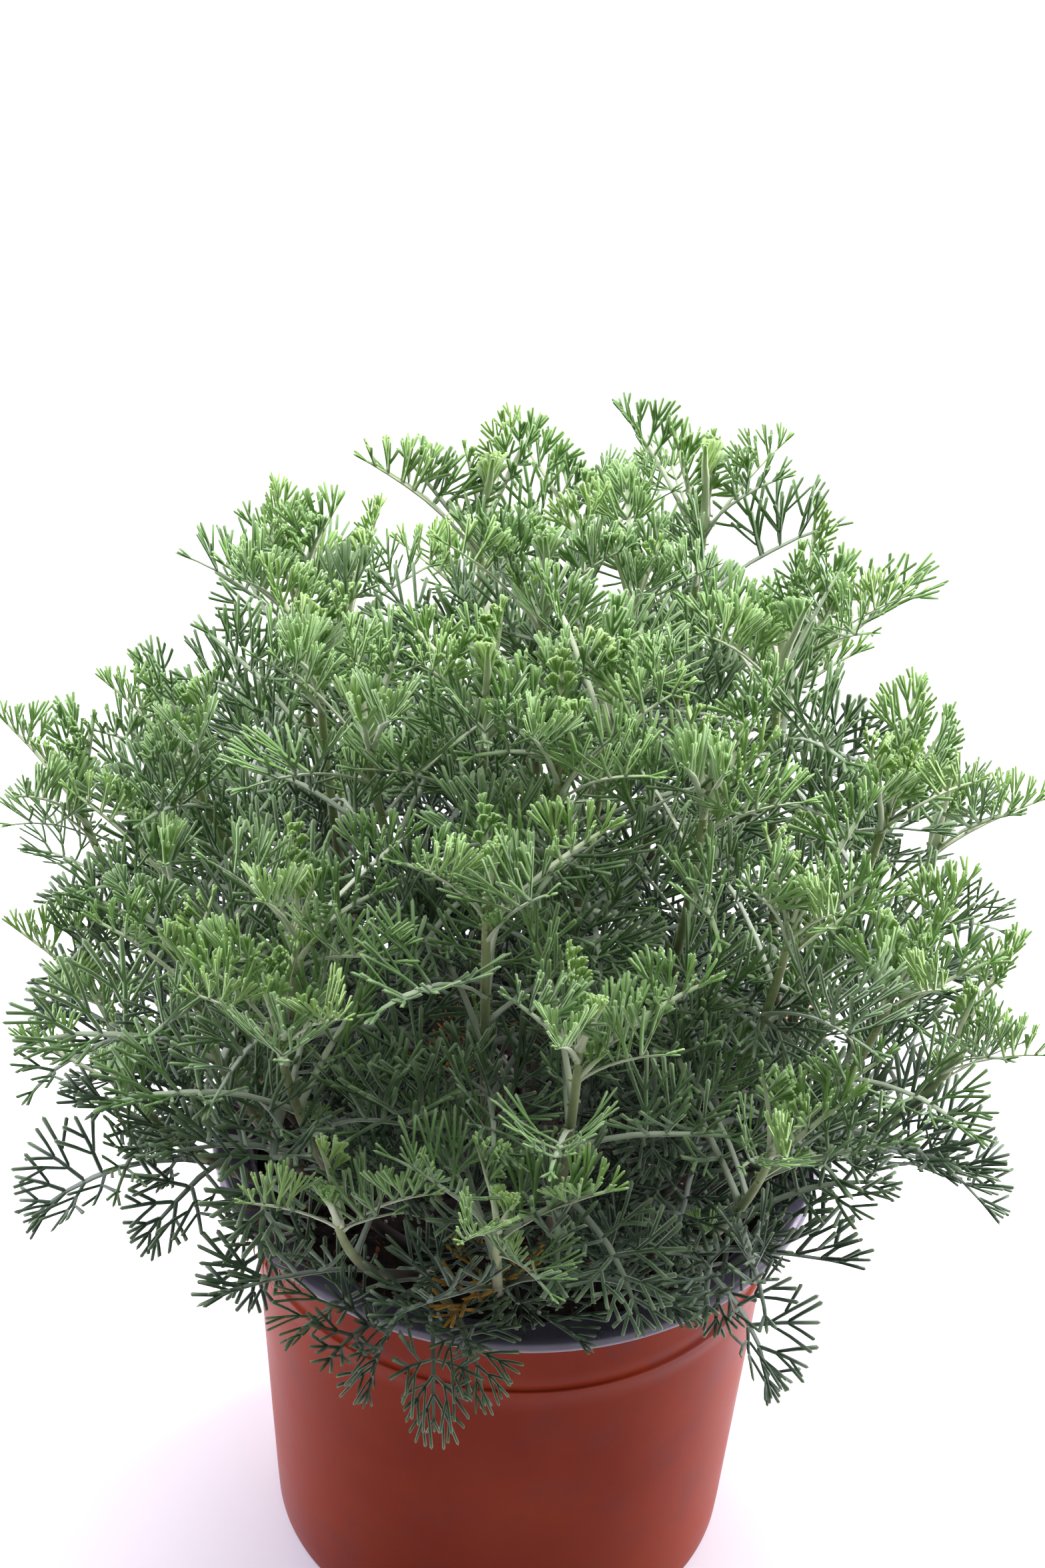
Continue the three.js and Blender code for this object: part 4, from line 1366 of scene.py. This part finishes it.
def make_pot():
    """The pot, with its terracotta outside and the grey of its rim and inside."""
    mesh = lathe_mesh("nursery_pot", pot_profile(), POT_SIDES)
    ob = add_object("nursery_pot", mesh)
    mesh.materials.append(terracotta_material())
    mesh.materials.append(grey_material())
    for face in mesh.polygons:
        out = math.hypot(face.center.x, face.center.y) / MM
        inside = out < outer_wall(face.center.z / MM) - 0.5 and face.center.z > BASE_THICKNESS * MM * 0.9
        face.material_index = int(face.center.z > (POT_HEIGHT - RIM_LIP_HEIGHT - 0.2) * MM or inside)
        face.use_smooth = True
    mesh.update()
    bore_drain_holes(ob)
    return ob


def bore_drain_holes(pot):
    """Cuts the drain holes through the pot's base with one ring of pegs."""
    pegs = Form()
    for i in range(DRAIN_HOLES):
        turn = 2 * math.pi * (i + 0.5) / DRAIN_HOLES
        x, y = DRAIN_RING_RADIUS * MM * math.cos(turn), DRAIN_RING_RADIUS * MM * math.sin(turn)
        peg = [(x, y, z * MM) for z in (-2, -1, BASE_THICKNESS + 1, BASE_THICKNESS + 2)]
        radii = [0, DRAIN_HOLE_RADIUS * MM, DRAIN_HOLE_RADIUS * MM, 0]
        pegs.tube(peg, radii, radii, [0] * 4, arc((0, 0), 1, 0, 330, 12))
    cutter = add_object("drain_pegs", pegs.mesh("drain_pegs"))
    cut = pot.modifiers.new("bore", "BOOLEAN")
    cut.operation, cut.solver, cut.object = "DIFFERENCE", "EXACT", cutter
    keep_result(pot)
    bpy.data.objects.remove(cutter)


# The soil
def soil_height(x, y):
    """The solid's low relief with crumbs of several sizes on it."""
    relief = SOIL_RELIEF * np.sin(x * 0.13 + 1) * np.cos(y * 0.11)
    crumbs = 0.35 * np.sin(x * 0.9 + 1.3 * np.sin(y * 0.7)) * np.cos(y * 1.1 + 1.1 * np.sin(x * 0.8))
    fine = 0.18 * np.sin(x * 2.7 + 2 * np.sin(y * 1.9)) * np.cos(y * 2.9 + 1.7 * np.sin(x * 2.1))
    return SOIL_HEIGHT + relief + crumbs + fine


def peat_material():
    """Damp peat: nearly black brown crumbs with lighter dry edges, fully matt. Its shade attribute
    turns litter to brown fibre, orange bark or white specks."""
    material, tree, shader = new_material("damp_peat", Roughness=0.95)
    place = node(tree, "ShaderNodeTexCoord").outputs["Object"]
    crumbs = node(tree, "ShaderNodeTexNoise", {
        "Vector": place, "Scale": 1 / (PEAT_CRUMB * MM), "Detail": 6.0,
    }).outputs["Fac"]
    colour = node(tree, "ShaderNodeValToRGB", {"Fac": crumbs}, stops=(
        (0.3, "#120d0b"), (0.6, "#2a1d16"), (0.8, "#4a3325"),
    ))
    shade = node(tree, "ShaderNodeAttribute", attribute_name="shade").outputs["Fac"]
    litter = node(tree, "ShaderNodeValToRGB", {"Fac": shade}, stops=(
        (0.3, "#2a1c14"), (0.5, "#5c3d28"), (0.65, "#8a5f3c"), (0.8, "#a3562a"), (1.0, "#c9c2b6"),
    ))
    is_litter = node(tree, "ShaderNodeMapRange", {"Value": shade, "From Min": 0.1, "From Max": 0.5})
    colour = node(tree, "ShaderNodeMix", {
        0: is_litter, COLOUR_A: colour, COLOUR_B: litter,
    }, data_type="RGBA")
    tree.links.new(colour.outputs[MIXED_COLOUR], shader.inputs["Base Color"])
    return material


def lay_relief(mesh):
    """Gives every point of the mesh that is on the soil's surface its height there."""
    for vertex in mesh.vertices:
        if vertex.co.z > (SOIL_HEIGHT - SOIL_EDGE_DROP / 2) * MM:
            vertex.co.z = float(soil_height(vertex.co.x / MM, vertex.co.y / MM)) * MM


def make_soil(material):
    """The block of soil, which ends just inside the pot, with its relief on top."""
    foot = BASE_THICKNESS + SOIL_GAP
    top_radius = inner_wall(SOIL_HEIGHT) - SOIL_GAP
    profile = [(0, foot), (inner_wall(foot) - SOIL_GAP, foot), (top_radius, SOIL_HEIGHT - SOIL_EDGE_DROP)]
    profile += [(top_radius * (1 - i / SOIL_RINGS), SOIL_HEIGHT) for i in range(SOIL_RINGS + 1)]
    mesh = lathe_mesh("potting_peat", profile, SOIL_SIDES)
    lay_relief(mesh)
    mesh.materials.append(material)
    mesh.polygons.foreach_set("use_smooth", [True] * len(mesh.polygons))
    return add_object("potting_peat", mesh)


# The litter on the soil. A form has its half length, half width and half height, and its shade:
# peat crumbs, two lengths of fibre, a chip of bark and a white speck.
CRUMBS = 6
CRUMB_SIZE = (0.5, 0.42, 0.36)
CRUMB_SHADES = (0, 0.3)
OTHER_LITTER = [
    (1.6, 0.07, 0.07, 0.55),
    (1.1, 0.09, 0.09, 0.65),
    (0.9, 0.3, 0.08, 0.75),
    (0.3, 0.26, 0.24, 1.0),
]
LITTER_SECTION = [(math.cos(math.radians(72 * k)), math.sin(math.radians(72 * k))) for k in range(5)]
LITTER_STEPS = (-1, -0.55, 0.5, 1)
LITTER_PER_SQUARE_METRE = 230000
LITTER_SMALLEST = 0.5
LITTER_LARGEST = 2.2
LITTER_SEED = 7
LITTER_FORM_SEED = 60
LITTER_GROUND_RINGS = 20
LITTER_GROUND_SIDES = 60


def make_litter():
    """The forms of litter in one collection, each with its shade from dark peat to white."""
    litter = bpy.data.collections.new("litter_forms")
    rng = np.random.default_rng(LITTER_FORM_SEED)
    kinds = [(*CRUMB_SIZE, rng.uniform(*CRUMB_SHADES)) for _ in range(CRUMBS)] + OTHER_LITTER
    for i, (reach, half_width, half_height, shade) in enumerate(kinds):
        form = Form()
        path = [np.array([x * reach, *rng.uniform(-0.12, 0.12, 2) * reach]) * MM for x in LITTER_STEPS]
        widths = [half_width * MM * w for w in (0, rng.uniform(0.8, 1.1), rng.uniform(0.8, 1.1), 0)]
        heights = [half_height * MM * w for w in (0, rng.uniform(0.8, 1.1), rng.uniform(0.8, 1.1), 0)]
        form.tube(path, widths, heights, [shade] * len(path), LITTER_SECTION)
        mesh = form.mesh(f"litter_{i}", "shade")
        litter.objects.link(bpy.data.objects.new(mesh.name, mesh))
    return litter


def litter_tree():
    """Strews the litter's forms over a surface, turned and sized at random."""
    tree, given = geometry_tree("strew_litter", {
        "Litter": "NodeSocketCollection",
        "Forms": "NodeSocketInt",
        "Density": "NodeSocketFloat",
        "Smallest": "NodeSocketFloat",
        "Largest": "NodeSocketFloat",
        "Seed": "NodeSocketInt",
        "Peat": "NodeSocketMaterial",
    })
    points = node(tree, "GeometryNodeDistributePointsOnFaces", {
        "Mesh": given["Geometry"], "Density": given["Density"], "Seed": given["Seed"],
    })
    forms = node(tree, "GeometryNodeCollectionInfo", {
        "Collection": given["Litter"], "Separate Children": True, "Reset Children": True,
    })
    pick = node(tree, "FunctionNodeRandomValue", {
        "Min": 0, "Max": given["Forms"], "Seed": 1,
    }, data_type="INT")
    turn = node(tree, "FunctionNodeRandomValue", {
        "Min": (-0.5, -0.5, 0.0), "Max": (0.5, 0.5, 2 * math.pi), "Seed": 2,
    }, data_type="FLOAT_VECTOR")
    size = node(tree, "FunctionNodeRandomValue", {
        "Min": given["Smallest"], "Max": given["Largest"], "Seed": 3,
    }, data_type="FLOAT")
    strewn = node(tree, "GeometryNodeInstanceOnPoints", {
        "Points": points, "Instance": forms, "Pick Instance": True, "Instance Index": pick.outputs[2],
        "Rotation": turn, "Scale": size.outputs[1],
    })
    strewn = node(tree, "GeometryNodeRealizeInstances", {"Geometry": strewn})
    strewn = node(tree, "GeometryNodeSetMaterial", {"Geometry": strewn, "Material": given["Peat"]})
    strewn = node(tree, "GeometryNodeSetShadeSmooth", {"Geometry": strewn})
    node(tree, "NodeGroupOutput", {"Geometry": strewn})
    return tree


def make_litter_on_soil(material):
    """The litter as one piece, strewn on a disc that follows the soil's surface."""
    reach = inner_wall(SOIL_HEIGHT) - SOIL_GAP - LITTER_LARGEST
    rings = [reach * (1 - i / LITTER_GROUND_RINGS) for i in range(LITTER_GROUND_RINGS + 1)]
    ground = lathe_mesh("litter_ground", [(r, SOIL_HEIGHT) for r in rings], LITTER_GROUND_SIDES)
    lay_relief(ground)
    litter = make_litter()
    piece = grown_mesh("peat_litter", ground, litter_tree(), {
        "Litter": litter, "Forms": len(litter.objects) - 1, "Density": float(LITTER_PER_SQUARE_METRE),
        "Smallest": LITTER_SMALLEST, "Largest": LITTER_LARGEST, "Seed": LITTER_SEED, "Peat": material,
    })
    discard(litter)
    return piece


# The coir fibres, which lie from the soil over the rim: each step gives its distance from the
# pot's axis and its height over the rim's top
COIR_FIBRES = 16
COIR_AZIMUTH = -141
COIR_RADIUS = 0.17
COIR_SHADE = 0.6
COIR_COURSE = [(54, SOIL_HEIGHT - POT_HEIGHT), (57.5, -3), (60.5, 0.6), (64, 0.4)]
COIR_LONGEST_HANG = 9
COIR_SEED = 61


def make_coir(material):
    """Loose coir fibres that hang over the rim at the left front."""
    rng = np.random.default_rng(COIR_SEED)
    coir = Form()
    for _ in range(COIR_FIBRES):
        azimuth = math.radians(COIR_AZIMUTH + rng.uniform(-9, 9))
        drift = rng.uniform(-0.1, 0.1)
        hang = rng.uniform(0, COIR_LONGEST_HANG)
        course = COIR_COURSE + [(66.6, -1 - 0.3 * hang), (66.2 + rng.uniform(0, 1), -2 - hang)]
        line = []
        for i, (r, z) in enumerate(course):
            turn = azimuth + drift * i / 3 + rng.uniform(-0.015, 0.015)
            height = POT_HEIGHT + z + rng.uniform(0, 0.5)
            line.append(np.array([r * math.cos(turn), r * math.sin(turn), height]) * MM)
        widths = [0] + [COIR_RADIUS * MM] * 4 + [0]
        coir.tube(line, widths, widths, [COIR_SHADE] * 6)
    mesh = coir.mesh("coir_fibres", "shade")
    mesh.materials.append(material)
    return add_object("coir_fibres", mesh)


# Light, floor and camera
def photo_camera():
    elevation, roll = math.radians(CAMERA_ELEVATION), math.radians(CAMERA_ROLL)
    back = Vector((0, -math.cos(elevation), math.sin(elevation)))
    right = Vector((1, 0, 0))
    up = Vector((0, math.sin(elevation), math.cos(elevation)))
    level = math.cos(roll) * right + math.sin(roll) * up
    upright = -math.sin(roll) * right + math.cos(roll) * up
    data = bpy.data.cameras.new("camera")
    data.sensor_width = SENSOR
    data.lens = SENSOR * PHOTO_FOCAL_PIXELS / PHOTO_LONG_SIDE
    data.clip_start, data.clip_end = 0.05, 20
    camera = add_object("camera", data)
    matrix = Matrix((level, upright, back)).transposed().to_4x4()
    matrix.translation = (Vector(CAMERA_TARGET) + back * CAMERA_DISTANCE) * MM
    camera.matrix_world = matrix
    bpy.context.scene.camera = camera


# Strengths of the white room's light in front of the bush and behind it, and of the soft sky light
ROOM_FRONT = 0.0
ROOM_BACK = 0.8
SKYLIGHT = 2.1
SKYLIGHT_SPREAD = 80
SKYLIGHT_FROM = (0, 0.45, 1)

# The soft boxes: name, place, the point that they face, size, power in watts and colour. The floor's
# half width follows them.
SOFT_BOXES = [
    ("top", (0, 0.1, 0.62), (0, 0.02, 0.2), (0.55, 0.4), 3.4, "#f6f2fa"),
    ("left_side", (-0.75, 0.35, 0.45), (0, 0, 0.15), (0.6, 0.8), 16, "#ece0fc"),
    ("right_side", (0.75, 0.35, 0.45), (0, 0, 0.15), (0.6, 0.8), 22, "#f2e8fa"),
]
FLOOR_HALF = 3.0


def soft_box(name, place, aim_at, size, power, colour):
    data = bpy.data.lights.new(name, "AREA")
    data.shape = "RECTANGLE"
    data.size, data.size_y = size
    data.energy = power
    data.color = linear(colour)[:3]
    light = add_object(name, data)
    light.location = place
    light.rotation_euler = (Vector(aim_at) - Vector(place)).to_track_quat("-Z", "Y").to_euler()
    light.visible_camera = False


def white_room():
    """White to look at. Its light is strongest behind the bush and fades to none in front of it."""
    world = bpy.data.worlds.new("white_room")
    world.use_nodes = True
    bpy.context.scene.world = world
    tree = world.node_tree
    way = node(tree, "ShaderNodeTexCoord").outputs["Generated"]
    way = node(tree, "ShaderNodeSeparateXYZ", {0: way}).outputs
    glow = node(tree, "ShaderNodeMapRange", {
        "Value": way["Y"], "From Min": -1.0, "From Max": 1.0, "To Min": ROOM_FRONT, "To Max": ROOM_BACK,
    })
    seen = node(tree, "ShaderNodeLightPath").outputs["Is Camera Ray"]
    strength = node(tree, "ShaderNodeMix", {0: seen, 2: glow, 3: 1.0}, data_type="FLOAT")
    background = tree.nodes["Background"]
    background.inputs["Color"].default_value = (1, 1, 1, 1)
    tree.links.new(strength.outputs[0], background.inputs["Strength"])


def white_floor():
    corners = [(x, y, 0) for x, y in ((-1, -1), (1, -1), (1, 1), (-1, 1))]
    mesh = bpy.data.meshes.new("floor")
    mesh.from_pydata([tuple(FLOOR_HALF * c for c in corner) for corner in corners], [], [(0, 1, 2, 3)])
    material, _, shader = new_material("matt_white_paper", Roughness=0.9)
    shader.inputs["Base Color"].default_value = linear("#d2d2d2")
    mesh.materials.append(material)
    add_object("floor", mesh)


def studio():
    """A white floor in a white room, with soft light from above and behind, and from each side."""
    white_room()
    bpy.context.scene.view_settings.view_transform = "Standard"
    data = bpy.data.lights.new("overhead", "SUN")
    data.angle = math.radians(SKYLIGHT_SPREAD)
    data.energy = SKYLIGHT
    light = add_object("overhead", data)
    light.rotation_euler = Vector(SKYLIGHT_FROM).to_track_quat("Z", "Y").to_euler()
    for row in SOFT_BOXES:
        soft_box(*row)
    white_floor()


def place_piece(ob, slot, *nodes):
    """The piece rides on the one body and stands for these nodes. The slot is not used."""
    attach(ob, "root")
    if nodes:
        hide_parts(*nodes)


photo_camera()
studio()

plan = plan_bush()
fuller_bush(plan)
forms = make_forms()
leaf = leaf_material()
bark = stem_material()
foliage = foliage_tree()
for stem in plan:
    paths = stem_paths_object(stem)
    piece = grown_mesh("foliage_of_" + stem.name, leaf_points_mesh(stem), foliage, {
        "Leaf forms": forms, "Stem paths": paths, "Stem sides": STEM_SIDES, "Foliage": leaf, "Bark": bark,
    })
    place_piece(piece, "foliage", stem.name)
    bpy.data.objects.remove(paths)
discard(forms)

place_piece(make_pot(), "pot_plastic", "pot")
peat = peat_material()
place_piece(make_soil(peat), "potting_soil", "potting_soil")
place_piece(make_litter_on_soil(peat), "potting_soil")
place_piece(make_coir(peat), "potting_soil")
